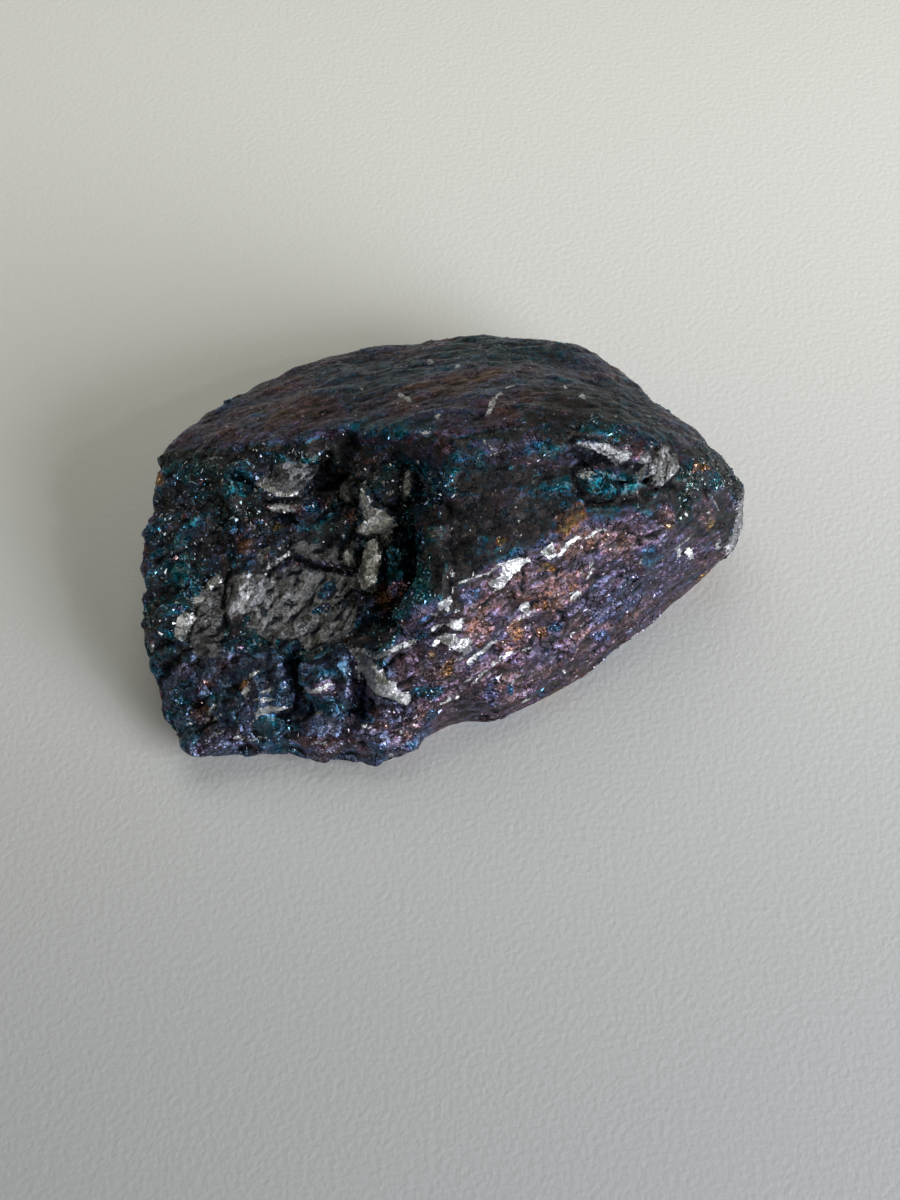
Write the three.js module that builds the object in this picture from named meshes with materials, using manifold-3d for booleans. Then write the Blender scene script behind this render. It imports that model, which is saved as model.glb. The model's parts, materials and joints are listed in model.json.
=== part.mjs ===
// A hand-sized lump of tarnished chalcopyrite ore, broken from a vein and lying on its flat underside.
// Millimetres, +Z up, origin in the middle of the underside. X runs along the lump, and -Y is its
// bright, steep front.
//
// The lump starts as the convex hull of its own corners. Its edges are worn round, then the fresh
// breaks are cut into it: a stepped hollow on the left, a crevice, pits, notches, ledges and flakes.
// Last, the whole surface gets the small relief of broken ore, and the underside stays flat.

import * as THREE from "three";
import Module from "manifold-3d";
import { ConvexGeometry } from "three/addons/geometries/ConvexGeometry.js";
import { TessellateModifier } from "three/addons/modifiers/TessellateModifier.js";
import { ImprovedNoise } from "three/addons/math/ImprovedNoise.js";
import { mergeVertices } from "three/addons/utils/BufferGeometryUtils.js";

// Driving dimensions of the finished lump
const LENGTH = 81.4;
const DEPTH = 64.4;
const HEIGHT = 33;

// How finely the surface is faceted, and how its relief is built up
const WORN_EDGE = 4.6;
const BREAK_EDGE = 3.4;
const SPLIT_PASSES = 40;
const WEAR = 0.5;
const LUMP_SIZE = 13;
const LUMP_RISE = 0.75;
const KNOB_SIZE = 5.2;
const KNOB_RISE = 0.6;
const WARP_SIZE = 7.5;
const WARP = 1.5;
const CHIP_SIZE = 3.1;
const CHIP_DEPTH = 0.55;
const CHIP_BIAS = 0.3;
const RELIEF_STARTS = 0.4;
const RELIEF_FULL = 3.5;
const NOISE_ORIGIN = 100;
const NOISE_STEP = 50;
const WELD = 1e-4;

// Corners of the flat underside, from the left front corner round by the right tip
const UNDERSIDE = [
  [-30, -29.5, 0], [-19, -29, 0], [-9, -30.3, 0], [-3, -27, 0], [4, -25.2, 0], [11, -22.8, 0],
  [18, -16.8, 0], [27, -10.2, 0], [33, -5.8, 0], [36, -1.5, 0], [35, 5, 0], [30, 12, 0],
  [22, 20, 0], [12, 25, 0], [-2, 26, 0], [-15, 24, 0], [-25, 18, 0], [-32, 8, 0],
  [-35, -4, 0], [-35, -15, 0], [-34, -23, 0],
];

// The widest outline: low along the front, half way up along the back
const FRONT_FOOT = [
  [-36.4, -34, 4], [-27, -31.4, 5], [-19, -31, 3], [-13, -32.6, 3], [-8.4, -34, 2.5],
  [9.9, -25.8, 4], [13.5, -23.3, 3.5], [18.3, -17.6, 3.5], [22.2, -13.8, 3.5], [27.4, -10.2, 3.5],
  [32.6, -6, 4.5], [37.8, -3.2, 5],
];
const RIGHT_TIP = [[41.4, -1, 8], [41.4, 1.2, 15], [40.4, 3.8, 16]];
const BACK_EDGE = [
  [36.8, 9.6, 15], [32.6, 15.8, 14], [27.8, 22.2, 13], [23.4, 27.6, 12], [17.6, 32, 12],
  [5, 33, 12], [-5.2, 31.8, 12], [-16.8, 30.6, 12], [-26, 25.6, 12], [-33.4, 16.8, 14],
];
const LEFT_END = [
  [-40.2, 9.6, 16], [-41.6, 2.6, 16], [-41.4, -1.4, 14], [-41.8, -7, 13], [-42.4, -15, 11],
  [-40.4, -21.6, 9], [-39.2, -25.8, 7], [-38.8, -31.4, 5],
];

// The crest that parts the smooth back slope from the plateau, and the ridge above the front face
const CREST = [
  [-32.8, 4.2, 22.6], [-17, 1.6, 28.8], [-5.8, -0.9, 31.8], [3.2, -1.2, 33.6], [10.8, 0.4, 33.8],
  [19.8, 0.4, 31.8], [29.4, 0.8, 26.8], [37.2, 0.8, 20.6],
];
const FRONT_RIDGE = [
  [-6.4, -23.4, 20.6], [-1.9, -20.9, 23.8], [4.4, -17.6, 26.8], [14.4, -12.2, 28.8],
  [24.9, -7.5, 26.8], [33.4, -3.6, 22.6],
];
const LEFT_FACET_TOP = [[-35, -20.4, 13.2], [-27, -22.4, 14], [-13.6, -23.9, 14.8]];

// The stepped hollow: its fractured floor slopes down to the left front
const HOLLOW_FLOOR = [
  [-26, -3.4, 18.6], [-15.4, -3, 18.2], [-6.6, -5.8, 17], [-5.4, -15.4, 12.6],
  [-12.4, -21.8, 12.4], [-26.6, -20.8, 12.6], [-29, -13.4, 14.8],
];
const HOLLOW_MOUTH = [
  [-34, 6.5, 29], [-20, 5, 33], [-8, 3.4, 38], [-1, 1.6, 39], [3.4, -4, 40], [0.6, -11, 38],
  [-1, -18, 36], [-4.4, -24.4, 30], [-14, -32, 24], [-30, -34, 22], [-46, -24, 20], [-46, -8, 22],
];

// A lower shelf, stepped down on the left of the hollow's floor
const SHELF_FLOOR = [
  [-29.6, -2.6, 17], [-28.6, -19.4, 12.6], [-36, -19.2, 12], [-44, -12, 12], [-44, 0, 15],
];
const SHELF_MOUTH = [
  [-31, 4, 27], [-28.2, -21, 24], [-37, -24, 19], [-54, -20, 17], [-52, 9, 23],
];

// The deep dark crevice at the foot of the plateau's left wall
const CREVICE_FLOOR = [[-7.4, -5.6, 13.4], [-3.8, -6.2, 13.4], [-4.2, -16.8, 10.6], [-6.8, -17, 10]];
const CREVICE_MOUTH = [[-8.4, -2.4, 32], [-1.4, -5, 36], [-2.4, -19.4, 32], [-8, -22, 28]];

// A pit behind the silver plate, right under the crest
const PIT_FLOOR = [[-17.6, 1.2, 19.5], [-13.4, 1, 19.5], [-17.8, -4.4, 16.6], [-13.6, -4.4, 16.4]];
const PIT_MOUTH = [[-19, 4.4, 33], [-12, 4, 34], [-19.5, -9, 27], [-11.5, -9, 27]];

// Two slabs that stand up from the hollow's floor beside the crevice
const UPPER_SLAB = [
  [-11.6, -0.4, 24.4], [-9.6, -0.6, 25], [-7, -5, 24], [-7.4, -7.6, 20.2], [-12, -8.6, 18],
  [-12.4, -1.6, 14], [-6.8, -1.6, 14], [-7, -8.4, 13], [-12.4, -9.4, 13],
];
const LOWER_SLAB = [
  [-11.6, -8.2, 18.8], [-7.6, -8.2, 19.8], [-7.2, -13.4, 18], [-8, -16, 14.6], [-11.6, -15.6, 14.4],
  [-12.4, -8, 11], [-7, -8, 11], [-7.4, -16.4, 10], [-12, -16.4, 10],
];

// A silver plate that leans out of the wall under the crest
const PLATE = [
  [-28, 0.6, 22.4], [-19.4, 0.8, 23.6], [-18.4, -3.4, 21.2], [-25.6, -4.4, 19.8],
  [-28, 2, 14], [-18, 2, 14], [-18.4, -4.6, 14], [-27, -5, 14],
];

// Notches in the facet below the hollow
const LEFT_NOTCH_FLOOR = [[-21.4, -20, 11], [-19, -20, 11], [-21.8, -24.4, 7], [-19, -24.6, 7]];
const LEFT_NOTCH_MOUTH = [[-23, -27, 22], [-17.8, -27, 22], [-23.2, -34, 9.5], [-18.2, -34, 9.5]];
const RIGHT_NOTCH_FLOOR = [[-13.4, -21, 11], [-11.2, -21, 11], [-13.4, -25.2, 7], [-11, -25.4, 7]];
const RIGHT_NOTCH_MOUTH = [[-14.4, -27, 22], [-9.8, -27, 22], [-14.2, -34, 9.5], [-10, -34, 9.5]];

// A shallow three-cornered pit near the right end
const END_PIT_FLOOR = [[15, -3.2, 28.6], [21, -2.4, 27.2], [26.6, -3.2, 24], [18.4, -6.6, 25.8]];
const END_PIT_MOUTH = [[12, -1.2, 38], [23, 0, 38], [33, -3.4, 34], [16.6, -11, 38]];

// The foot's edge steps back beside the lobe at the front
const FOOT_STEP_FLOOR = [
  [-4, -29.6, -3], [-4, -29.2, 9], [6, -26.4, -3], [6, -26, 9], [0.6, -26.4, -3], [0.6, -26.2, 9],
];
const FOOT_STEP_MOUTH = [[-6, -40, -3], [-6, -40, 14], [10, -36, -3], [10, -36, 14]];

// Ledges broken out of the back and of the left end
const BACK_LEDGE_FLOOR = [[-20, 24, 4.5], [-4, 27, 3.6], [-21, 25, 9.2], [-3, 27.4, 8.2]];
const BACK_LEDGE_MOUTH = [[-26, 40, 2], [2, 42, 1], [-26, 40, 15], [2, 42, 13]];
const BACK_CHIP_FLOOR = [[8, 29, 3], [18, 26.4, 3.6], [9, 28.2, 8], [17, 26, 8.4]];
const BACK_CHIP_MOUTH = [[4, 42, -2], [26, 38, -2], [5, 42, 12], [24, 38, 13]];
const LEFT_CHIP_FLOOR = [[-36.2, -2, 5], [-36.6, 6, 6], [-37.4, -3, 9.6], [-37.2, 7, 10.4]];
const LEFT_CHIP_MOUTH = [[-48, -6, 2], [-48, 10, 3], [-48, -6, 13], [-48, 11, 15]];

// Flakes lost from the rim of the underside: each scar starts at an inner line and rises outwards
const FLAKES = [
  { inner: [[-29, -9], [-28, 3]], outer: [[-44, -14], [-44, 9]], rise: 5 },
  { inner: [[-30, 9], [-19, 19]], outer: [[-44, 14], [-26, 34]], rise: 6.5 },
  { inner: [[-9, 20], [5, 18.5]], outer: [[-15, 38], [14, 36]], rise: 6 },
  { inner: [[16, 17], [27, 6]], outer: [[26, 34], [44, 12]], rise: 6 },
  { inner: [[15, -13], [24, -6]], outer: [[24, -26], [38, -12]], rise: 4.4 },
  { inner: [[-26, -25], [-16, -24]], outer: [[-31, -38], [-12, -38]], rise: 2 },
];

const wasm = await Module();
wasm.setup();
const noise = new ImprovedNoise();

// A geometry with its shared vertices merged, so that only positions and triangles are left
function welded(geometry) {
  const bare = geometry.index ? geometry.toNonIndexed() : geometry.clone();
  for (const name of Object.keys(bare.attributes)) {
    if (name !== "position") bare.deleteAttribute(name);
  }
  return mergeVertices(bare, WELD);
}

function toSolid(geometry) {
  const { attributes, index } = welded(geometry);
  const vertProperties = new Float32Array(attributes.position.array);
  const triVerts = new Uint32Array(index.array);
  return new wasm.Manifold(new wasm.Mesh({ numProp: 3, vertProperties, triVerts }));
}

function toGeometry(solid) {
  const { numProp, vertProperties, triVerts } = solid.getMesh();
  const geometry = new THREE.BufferGeometry();
  const positions = new Float32Array((vertProperties.length / numProp) * 3);
  for (let i = 0; i < positions.length / 3; i += 1) {
    for (let axis = 0; axis < 3; axis += 1) positions[3 * i + axis] = vertProperties[numProp * i + axis];
  }
  geometry.setAttribute("position", new THREE.BufferAttribute(positions, 3));
  geometry.setIndex(new THREE.BufferAttribute(new Uint32Array(triVerts), 1));
  return geometry;
}

// The smallest convex block around the corners in one or more lists
function block(...lists) {
  return new ConvexGeometry(lists.flat().map((corner) => new THREE.Vector3(...corner)));
}

// A wedge that takes one flake off the underside's rim
function flakeScar({ inner, outer, rise }) {
  const start = inner.map(([x, y]) => [x, y, 0]);
  const end = outer.map(([x, y]) => [x, y, rise]);
  const below = outer.map(([x, y]) => [x, y, -rise]);
  return block(start, end, below);
}

// Splits long edges until every edge is shorter than the limit
function refined(geometry, limit) {
  return welded(new TessellateModifier(limit, SPLIT_PASSES).modify(geometry));
}

function neighbourLists(geometry) {
  const lists = Array.from({ length: geometry.attributes.position.count }, () => new Set());
  const { array } = geometry.index;
  for (let i = 0; i < array.length; i += 3) {
    for (let side = 0; side < 3; side += 1) {
      const from = array[i + side];
      const to = array[i + ((side + 1) % 3)];
      lists[from].add(to);
      lists[to].add(from);
    }
  }
  return lists;
}

// Wears edges round: each point moves towards the middle of its neighbours, and the underside stays
function worn(geometry) {
  const result = geometry.clone();
  const before = geometry.attributes.position;
  const neighbours = neighbourLists(geometry);
  for (let i = 0; i < before.count; i += 1) {
    const point = new THREE.Vector3().fromBufferAttribute(before, i);
    if (point.z < WELD) continue;
    const middle = new THREE.Vector3();
    for (const j of neighbours[i]) middle.add(new THREE.Vector3().fromBufferAttribute(before, j));
    point.lerp(middle.divideScalar(neighbours[i].size), WEAR);
    result.attributes.position.setXYZ(i, point.x, point.y, point.z);
  }
  return result;
}

function noiseAt(point, size) {
  return noise.noise(point.x / size, point.y / size, point.z / size);
}

// Height of the broken surface above the smooth one: lumps, knobs on them, and sharp chips
function reliefAt(point) {
  const shifted = point.clone().addScalar(NOISE_ORIGIN);
  const lumps = LUMP_RISE * noiseAt(shifted, LUMP_SIZE);
  const knobs = KNOB_RISE * noiseAt(shifted, KNOB_SIZE);
  const chips = CHIP_DEPTH * (CHIP_BIAS - Math.abs(noiseAt(shifted, CHIP_SIZE)));
  return (lumps + knobs + chips) * THREE.MathUtils.smoothstep(point.z, RELIEF_STARTS, RELIEF_FULL);
}

// Drift of a point along the surface, which keeps broken edges from running straight
function driftAt(point, outward) {
  const drift = new THREE.Vector3();
  for (const axis of ["x", "y", "z"]) {
    const shifted = point.clone().addScalar(NOISE_ORIGIN);
    shifted[axis] += NOISE_STEP;
    drift[axis] = WARP * noiseAt(shifted, WARP_SIZE);
  }
  drift.addScaledVector(outward, -drift.dot(outward));
  drift.z *= THREE.MathUtils.smoothstep(point.z, RELIEF_STARTS, RELIEF_FULL);
  return drift;
}

function roughened(geometry) {
  const result = geometry.clone();
  result.computeVertexNormals();
  const { position, normal } = result.attributes;
  const point = new THREE.Vector3();
  const outward = new THREE.Vector3();
  for (let i = 0; i < position.count; i += 1) {
    point.fromBufferAttribute(position, i);
    outward.fromBufferAttribute(normal, i);
    point.add(driftAt(point, outward).addScaledVector(outward, reliefAt(point)));
    position.setXYZ(i, point.x, point.y, Math.max(point.z, 0));
  }
  return result;
}

// Brings the lump to its driving dimensions, with the origin in the middle of its underside
function fitted(geometry) {
  geometry.computeBoundingBox();
  const size = geometry.boundingBox.getSize(new THREE.Vector3());
  const centre = geometry.boundingBox.getCenter(new THREE.Vector3());
  geometry.translate(-centre.x, -centre.y, 0);
  geometry.scale(LENGTH / size.x, DEPTH / size.y, HEIGHT / size.z);
  return geometry;
}

function lumpGeometry() {
  const corners = block(
    UNDERSIDE, FRONT_FOOT, RIGHT_TIP, BACK_EDGE, LEFT_END, CREST, FRONT_RIDGE, LEFT_FACET_TOP,
  );
  let lump = toSolid(worn(refined(corners, WORN_EDGE)));
  const breaks = [
    block(HOLLOW_FLOOR, HOLLOW_MOUTH),
    block(SHELF_FLOOR, SHELF_MOUTH),
    block(BACK_LEDGE_FLOOR, BACK_LEDGE_MOUTH),
    block(BACK_CHIP_FLOOR, BACK_CHIP_MOUTH),
    block(LEFT_CHIP_FLOOR, LEFT_CHIP_MOUTH),
    block(FOOT_STEP_FLOOR, FOOT_STEP_MOUTH),
    block(END_PIT_FLOOR, END_PIT_MOUTH),
    ...FLAKES.map(flakeScar),
  ];
  for (const gap of breaks) lump = lump.subtract(toSolid(refined(gap, WORN_EDGE)));
  for (const slab of [UPPER_SLAB, LOWER_SLAB, PLATE]) lump = lump.add(toSolid(block(slab)));
  const pits = [
    block(CREVICE_FLOOR, CREVICE_MOUTH),
    block(PIT_FLOOR, PIT_MOUTH),
    block(LEFT_NOTCH_FLOOR, LEFT_NOTCH_MOUTH),
    block(RIGHT_NOTCH_FLOOR, RIGHT_NOTCH_MOUTH),
  ];
  for (const pit of pits) lump = lump.subtract(toSolid(pit));
  const broken = refined(toGeometry(lump), BREAK_EDGE);
  return fitted(roughened(worn(broken)));
}

function tarnishedOre() {
  return new THREE.MeshStandardMaterial({
    color: 0x4a4552,
    roughness: 0.45,
    metalness: 0.8,
    flatShading: true,
  });
}

const specimen = new THREE.Group();
const lump = new THREE.Mesh(lumpGeometry(), tarnishedOre());
lump.name = "chalcopyrite_lump";
specimen.add(lump);

export default specimen;
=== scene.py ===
# %% [markdown]
# A chalcopyrite specimen: one palm-sized lump of copper ore whose skin has tarnished to teal, violet
# and copper colours. The CAD solid gives its size, its outline and its main breaks. This lesson turns
# a copy of that solid into stone: a fine mesh, natural relief, tarnish painted as film thickness, and
# a metal that is only bare where something has scratched or broken the film.

# %% Load the frame
import json
import math

import bpy
import numpy as np
from mathutils import Euler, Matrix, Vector, noise
from mathutils.bvhtree import BVHTree

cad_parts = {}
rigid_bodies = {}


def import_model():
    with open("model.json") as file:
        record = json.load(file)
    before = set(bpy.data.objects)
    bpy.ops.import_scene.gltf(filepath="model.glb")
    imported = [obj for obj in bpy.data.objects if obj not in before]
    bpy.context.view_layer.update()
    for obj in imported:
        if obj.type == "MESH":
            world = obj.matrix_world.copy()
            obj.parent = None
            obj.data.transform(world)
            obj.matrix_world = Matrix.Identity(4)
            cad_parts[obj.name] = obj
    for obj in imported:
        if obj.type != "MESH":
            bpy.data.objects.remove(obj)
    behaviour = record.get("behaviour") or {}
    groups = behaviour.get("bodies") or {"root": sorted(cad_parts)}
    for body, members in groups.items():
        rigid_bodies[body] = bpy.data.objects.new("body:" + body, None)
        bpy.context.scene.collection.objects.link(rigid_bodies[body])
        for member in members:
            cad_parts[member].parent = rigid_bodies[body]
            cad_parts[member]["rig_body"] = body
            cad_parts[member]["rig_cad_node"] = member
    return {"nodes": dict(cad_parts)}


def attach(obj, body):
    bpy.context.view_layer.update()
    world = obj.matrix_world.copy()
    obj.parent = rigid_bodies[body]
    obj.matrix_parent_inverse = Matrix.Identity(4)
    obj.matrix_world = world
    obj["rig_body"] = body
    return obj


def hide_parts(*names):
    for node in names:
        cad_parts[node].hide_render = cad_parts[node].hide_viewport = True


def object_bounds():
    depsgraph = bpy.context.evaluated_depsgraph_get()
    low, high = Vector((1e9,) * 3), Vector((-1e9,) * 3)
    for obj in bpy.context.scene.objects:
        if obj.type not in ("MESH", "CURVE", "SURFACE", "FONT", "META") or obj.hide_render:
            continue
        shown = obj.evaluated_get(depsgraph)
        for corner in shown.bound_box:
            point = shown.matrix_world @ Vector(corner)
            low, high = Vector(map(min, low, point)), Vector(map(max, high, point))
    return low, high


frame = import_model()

MM = 0.001
cad_low, cad_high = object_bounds()
print("CAD box in millimetres:", [round(x / MM, 1) for x in (*cad_low, *cad_high)])

# %% [markdown]
# The camera comes first, because the marks on the stone are placed by looking through it. The
# specimen was photographed from close by and from well above, so a normal lens stands about 0.2 m
# away and looks down at 60 degrees. Its values are plain numbers, so that the same numbers can turn
# a pixel into a place on the stone later on.

# %% Set up the camera
PHOTO_WIDTH = 900
PHOTO_HEIGHT = 1200
LENS = 50.0
SENSOR = 36.0
CAMERA_AIM = Vector((0.6, -11.7, 10.8)) * MM
CAMERA_DISTANCE = 222 * MM
CAMERA_ELEVATION = math.radians(60)

toward_camera = Vector((0, -math.cos(CAMERA_ELEVATION), math.sin(CAMERA_ELEVATION)))
camera_right = Vector((1, 0, 0))
camera_up = toward_camera.cross(camera_right)
bpy.ops.object.camera_add(location=CAMERA_AIM + toward_camera * CAMERA_DISTANCE)
camera = bpy.context.object
camera.name = "photo_camera"
camera.rotation_euler = toward_camera.to_track_quat("Z", "Y").to_euler()
camera.data.lens = LENS
camera.data.sensor_width = SENSOR
camera.data.clip_start = 0.01
bpy.context.scene.camera = camera
print("camera at", [round(x / MM, 1) for x in camera.location], "mm")

# %% [markdown]
# The lump is one natural stone that grew and broke as one piece. Modelling it afresh would lose the
# outline that the CAD solid already has, so a copy of the solid is taken. The copy is loose
# triangles, as every imported solid is, and its doubles are merged before anything else touches it.

# %% Copy the solid and close its skin
def only(piece):
    """Selects one object and nothing else."""
    bpy.ops.object.select_all(action="DESELECT")
    piece.select_set(True)
    bpy.context.view_layer.objects.active = piece


only(frame["nodes"]["chalcopyrite_lump"])
bpy.ops.object.duplicate()
lump = bpy.context.object
bpy.ops.object.parent_clear(type="CLEAR_KEEP_TRANSFORM")
lump.name = "tarnished_lump"
lump.data.name = "tarnished_lump"
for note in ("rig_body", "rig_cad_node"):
    del lump[note]
lump.data.materials.clear()
bpy.ops.object.mode_set(mode="EDIT")
bpy.ops.mesh.select_all(action="SELECT")
bpy.ops.mesh.remove_doubles(threshold=0.001 * MM)
bpy.ops.object.mode_set(mode="OBJECT")
print("solid copied:", len(lump.data.polygons), "triangles")

# %% [markdown]
# The solid's triangles are about 1.5 mm long and would catch the light one by one. A voxel remesh
# spreads even quads over the stone, a short smoothing melts the triangle edges, and one level of
# subdivision brings the quads down to less than 0.4 mm, fine enough to carve striations into.

# %% Spread an even skin of quads over the stone
VOXEL = 0.74 * MM
SMOOTHINGS = 3


def apply_modifier(piece, kind, **settings):
    """Adds one modifier with these settings and applies it."""
    modifier = piece.modifiers.new(kind.lower(), kind)
    for name, value in settings.items():
        setattr(modifier, name, value)
    only(piece)
    bpy.ops.object.modifier_apply(modifier=modifier.name)


apply_modifier(lump, "REMESH", mode="VOXEL", voxel_size=VOXEL)
apply_modifier(lump, "SMOOTH", factor=0.5, iterations=SMOOTHINGS)
apply_modifier(lump, "SUBSURF", levels=1, render_levels=1)
print("remeshed:", len(lump.data.polygons), "quads")

# %% [markdown]
# Carving is done on the points in bulk. Three helpers read the points, write them back, and read
# the direction in which the skin faces. Lengths are millimetres here, because the forms on the
# stone are a millimetre or less.

# %% Helpers that read and write the points
def read_points(piece):
    """The points of a piece, in millimetres."""
    flat = np.empty(len(piece.data.vertices) * 3)
    piece.data.vertices.foreach_get("co", flat)
    return flat.reshape(-1, 3) / MM


def write_points(piece, points):
    """Moves the points of a piece, given in millimetres."""
    piece.data.vertices.foreach_set("co", (points * MM).ravel())
    piece.data.update()


def read_normals(piece):
    """The direction that the skin faces at each point."""
    flat = np.empty(len(piece.data.vertices) * 3)
    piece.data.vertex_normals.foreach_get("vector", flat)
    return flat.reshape(-1, 3)


print("points on the skin:", len(read_points(lump)))

# %% Flatten the underside and make it one face
FOOT_LEVEL = 0.16

heights = read_points(lump)
foot = heights[:, 2] < FOOT_LEVEL
heights[foot, 2] = 0
write_points(lump, heights)
only(lump)
bpy.ops.object.mode_set(mode="EDIT")
bpy.ops.mesh.select_mode(type="FACE")
bpy.ops.mesh.select_all(action="DESELECT")
bpy.ops.object.mode_set(mode="OBJECT")
for face in lump.data.polygons:
    face.select = all(foot[corner] for corner in face.vertices)
bpy.ops.object.mode_set(mode="EDIT")
bpy.ops.mesh.dissolve_limited(angle_limit=math.radians(1))
bpy.ops.object.mode_set(mode="OBJECT")
points = read_points(lump)
normals = read_normals(lump)
print("points:", len(points))

# %% [markdown]
# Marks on the stone are named by the pixel where the photograph shows them. The camera's own values
# turn every point of the skin into its pixel, and a ray from the camera to each point tells which
# points it can see. The rest of the stone is finished by rules that hold all round it.

# %% See the stone through the camera
PIXELS_PER_UNIT_SLOPE = LENS / SENSOR * PHOTO_HEIGHT
HIT_SLACK = 0.5 * MM
EDGE_ON = 0.02
WELL_IN_VIEW = 0.22

eye = np.array(camera.location) / MM
to_eye = np.array(toward_camera)


def pixels_of(places):
    """The pixel column and row at which the camera sees each place."""
    rays = places - eye
    depth = -(rays @ to_eye)
    column = PHOTO_WIDTH / 2 + PIXELS_PER_UNIT_SLOPE * (rays @ np.array(camera_right)) / depth
    row = PHOTO_HEIGHT / 2 - PIXELS_PER_UNIT_SLOPE * (rays @ np.array(camera_up)) / depth
    return column, row


def smoothstep(low, high, value):
    """0 below low, 1 above high, and a smooth rise between them."""
    share = np.clip((value - low) / (high - low), 0, 1)
    return share * share * (3 - 2 * share)


def seen_by_camera(piece, places, facing):
    """1 where the camera sees the skin, 0 where it is turned away or hidden behind the stone."""
    tree = BVHTree.FromObject(piece, bpy.context.evaluated_depsgraph_get())
    seen = np.zeros(len(places))
    start = Vector(eye * MM)
    for index in np.flatnonzero(facing > 0):
        place = Vector(places[index] * MM)
        reach = (place - start).length
        distance = tree.ray_cast(start, (place - start) / reach)[3]
        seen[index] = distance is None or distance > reach - HIT_SLACK
    return seen * smoothstep(EDGE_ON, WELL_IN_VIEW, facing)


def facing_camera(places, directions):
    """How squarely the skin faces the camera: 1 is square on."""
    sight = eye - places
    sight /= np.linalg.norm(sight, axis=1)[:, None]
    return np.einsum("ij,ij->i", directions, sight)


column, row = pixels_of(points)
seen = seen_by_camera(lump, points, facing_camera(points, normals))
print("seen by the camera:", round(seen.mean(), 2), "of the points")

# %% [markdown]
# Natural relief is noise at several sizes. The noise helper gives one value for each point, and the
# facet helper gives flat planes that meet at sharp steps, as broken ore has. Stretching the points
# along a direction before they are read draws the noise out into striations.

# %% Helpers for natural relief
LATTICE_TURN = np.array(Euler((0.6, 0.9, 0.3)).to_matrix())
HASH_FACTORS = (12.9898, 78.233, 37.719)
HASH_SCALE = 43758.5453
OCTAVE_FADE = 0.8
OCTAVE_STEP = 2.1


def noise_at(places, size, start, octaves=1):
    """Smooth noise from about -1 to 1, with lumps of that size in millimetres."""
    spots = (places / size + start).tolist()
    if octaves == 1:
        return np.array([noise.noise(spot) for spot in spots])
    return np.array([noise.fractal(spot, OCTAVE_FADE, OCTAVE_STEP, octaves) for spot in spots])


def drawn_out(places, direction, stretch):
    """The places, squeezed along a direction, so that noise read there is drawn out along it."""
    along = np.array(direction, float)
    along /= np.linalg.norm(along)
    return places - np.outer(places @ along, along) * (1 - 1 / stretch)


def creased_at(places, size, start):
    """Heights from about -1 to 1 of flat planes that meet at creases, each plane about that long."""
    # Every cube of a turned lattice is cut into six wedges, with a random height at each corner.
    lattice = places @ LATTICE_TURN / size + start
    corner = np.floor(lattice)
    inside = lattice - corner
    order = np.argsort(-inside, axis=1)
    steps = np.take_along_axis(inside, order, axis=1)
    shares = -np.diff(steps, axis=1, prepend=1, append=0)
    heights = np.zeros(len(places))
    for turn in range(4):
        random = np.sin(corner @ HASH_FACTORS) * HASH_SCALE
        heights += shares[:, turn] * (2 * (random - np.floor(random)) - 1)
        if turn < 3:
            corner[np.arange(len(places)), order[:, turn]] += 1
    return heights


def broken_at(places, size, start, octaves=3):
    """Creased planes of several sizes, each half as long and half as high as the one before."""
    return sum(creased_at(places, size / 2 ** n, start + 17 * n) / 2 ** n for n in range(octaves))


print("noise spread:", noise_at(points[::50], 2.2, 7).std().round(3))

# %% [markdown]
# The stone has five faces that broke or grew in different ways, and each has its own grain and its
# own colours. Their outlines are lists of pixels. A face's weight is 1 inside its outline and falls
# to 0 across a ragged border, because nothing on the stone ends at a straight line.

# %% Name the faces of the stone
STEEP_FRONT = [
    (395, 640), (430, 605), (480, 572), (560, 528), (640, 506), (740, 495), (748, 520), (728, 565),
    (700, 592), (640, 640), (600, 664), (545, 706), (520, 718), (475, 732), (440, 738), (405, 705),
    (385, 668),
]
HOLLOW = [
    (135, 500), (150, 452), (228, 448), (320, 452), (395, 462), (455, 474), (452, 530), (434, 596),
    (395, 640), (380, 662), (300, 660), (230, 650), (150, 660), (130, 610),
]
LOWER_LEFT = [
    (130, 650), (230, 650), (300, 660), (380, 662), (400, 700), (440, 736), (409, 760), (380, 775),
    (300, 762), (245, 760), (200, 764), (170, 740), (140, 700),
]
PLATEAU = [
    (455, 474), (560, 462), (640, 478), (750, 478), (745, 497), (640, 508), (560, 530), (480, 572),
    (434, 602), (440, 560), (450, 515),
]
FLOOR = [
    (226, 577), (250, 560), (275, 576), (310, 570), (350, 576), (359, 595), (352, 630), (340, 648),
    (304, 655), (230, 655), (222, 610),
]


def distance_to_line(start, end, columns, rows):
    """Distance in pixels from each point to the straight line between two pixels."""
    along = np.array(end, float) - start
    away_column = columns - start[0]
    away_row = rows - start[1]
    share = (away_column * along[0] + away_row * along[1]) / max(along @ along, 1e-9)
    share = np.clip(share, 0, 1)
    return np.hypot(away_column - share * along[0], away_row - share * along[1])


def distance_to_path(path, columns, rows):
    """Distance in pixels from each point to the nearest part of a path through these pixels."""
    return np.min([distance_to_line(a, b, columns, rows) for a, b in zip(path, path[1:])], axis=0)


def depth_inside(outline, columns, rows):
    """How many pixels each point lies inside an outline. Outside, the number is negative."""
    inside = np.zeros(len(columns), bool)
    for start, end in zip(outline, outline[1:] + outline[:1]):
        crosses = (start[1] > rows) != (end[1] > rows)
        if end[1] != start[1]:
            crossing = start[0] + (rows - start[1]) * (end[0] - start[0]) / (end[1] - start[1])
            inside ^= crosses & (columns < crossing)
    nearest = distance_to_path(outline + outline[:1], columns, rows)
    return np.where(inside, nearest, -nearest)


print("faces named: front, hollow with its floor, lower left, plateau, and the back slope as the rest")

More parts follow.
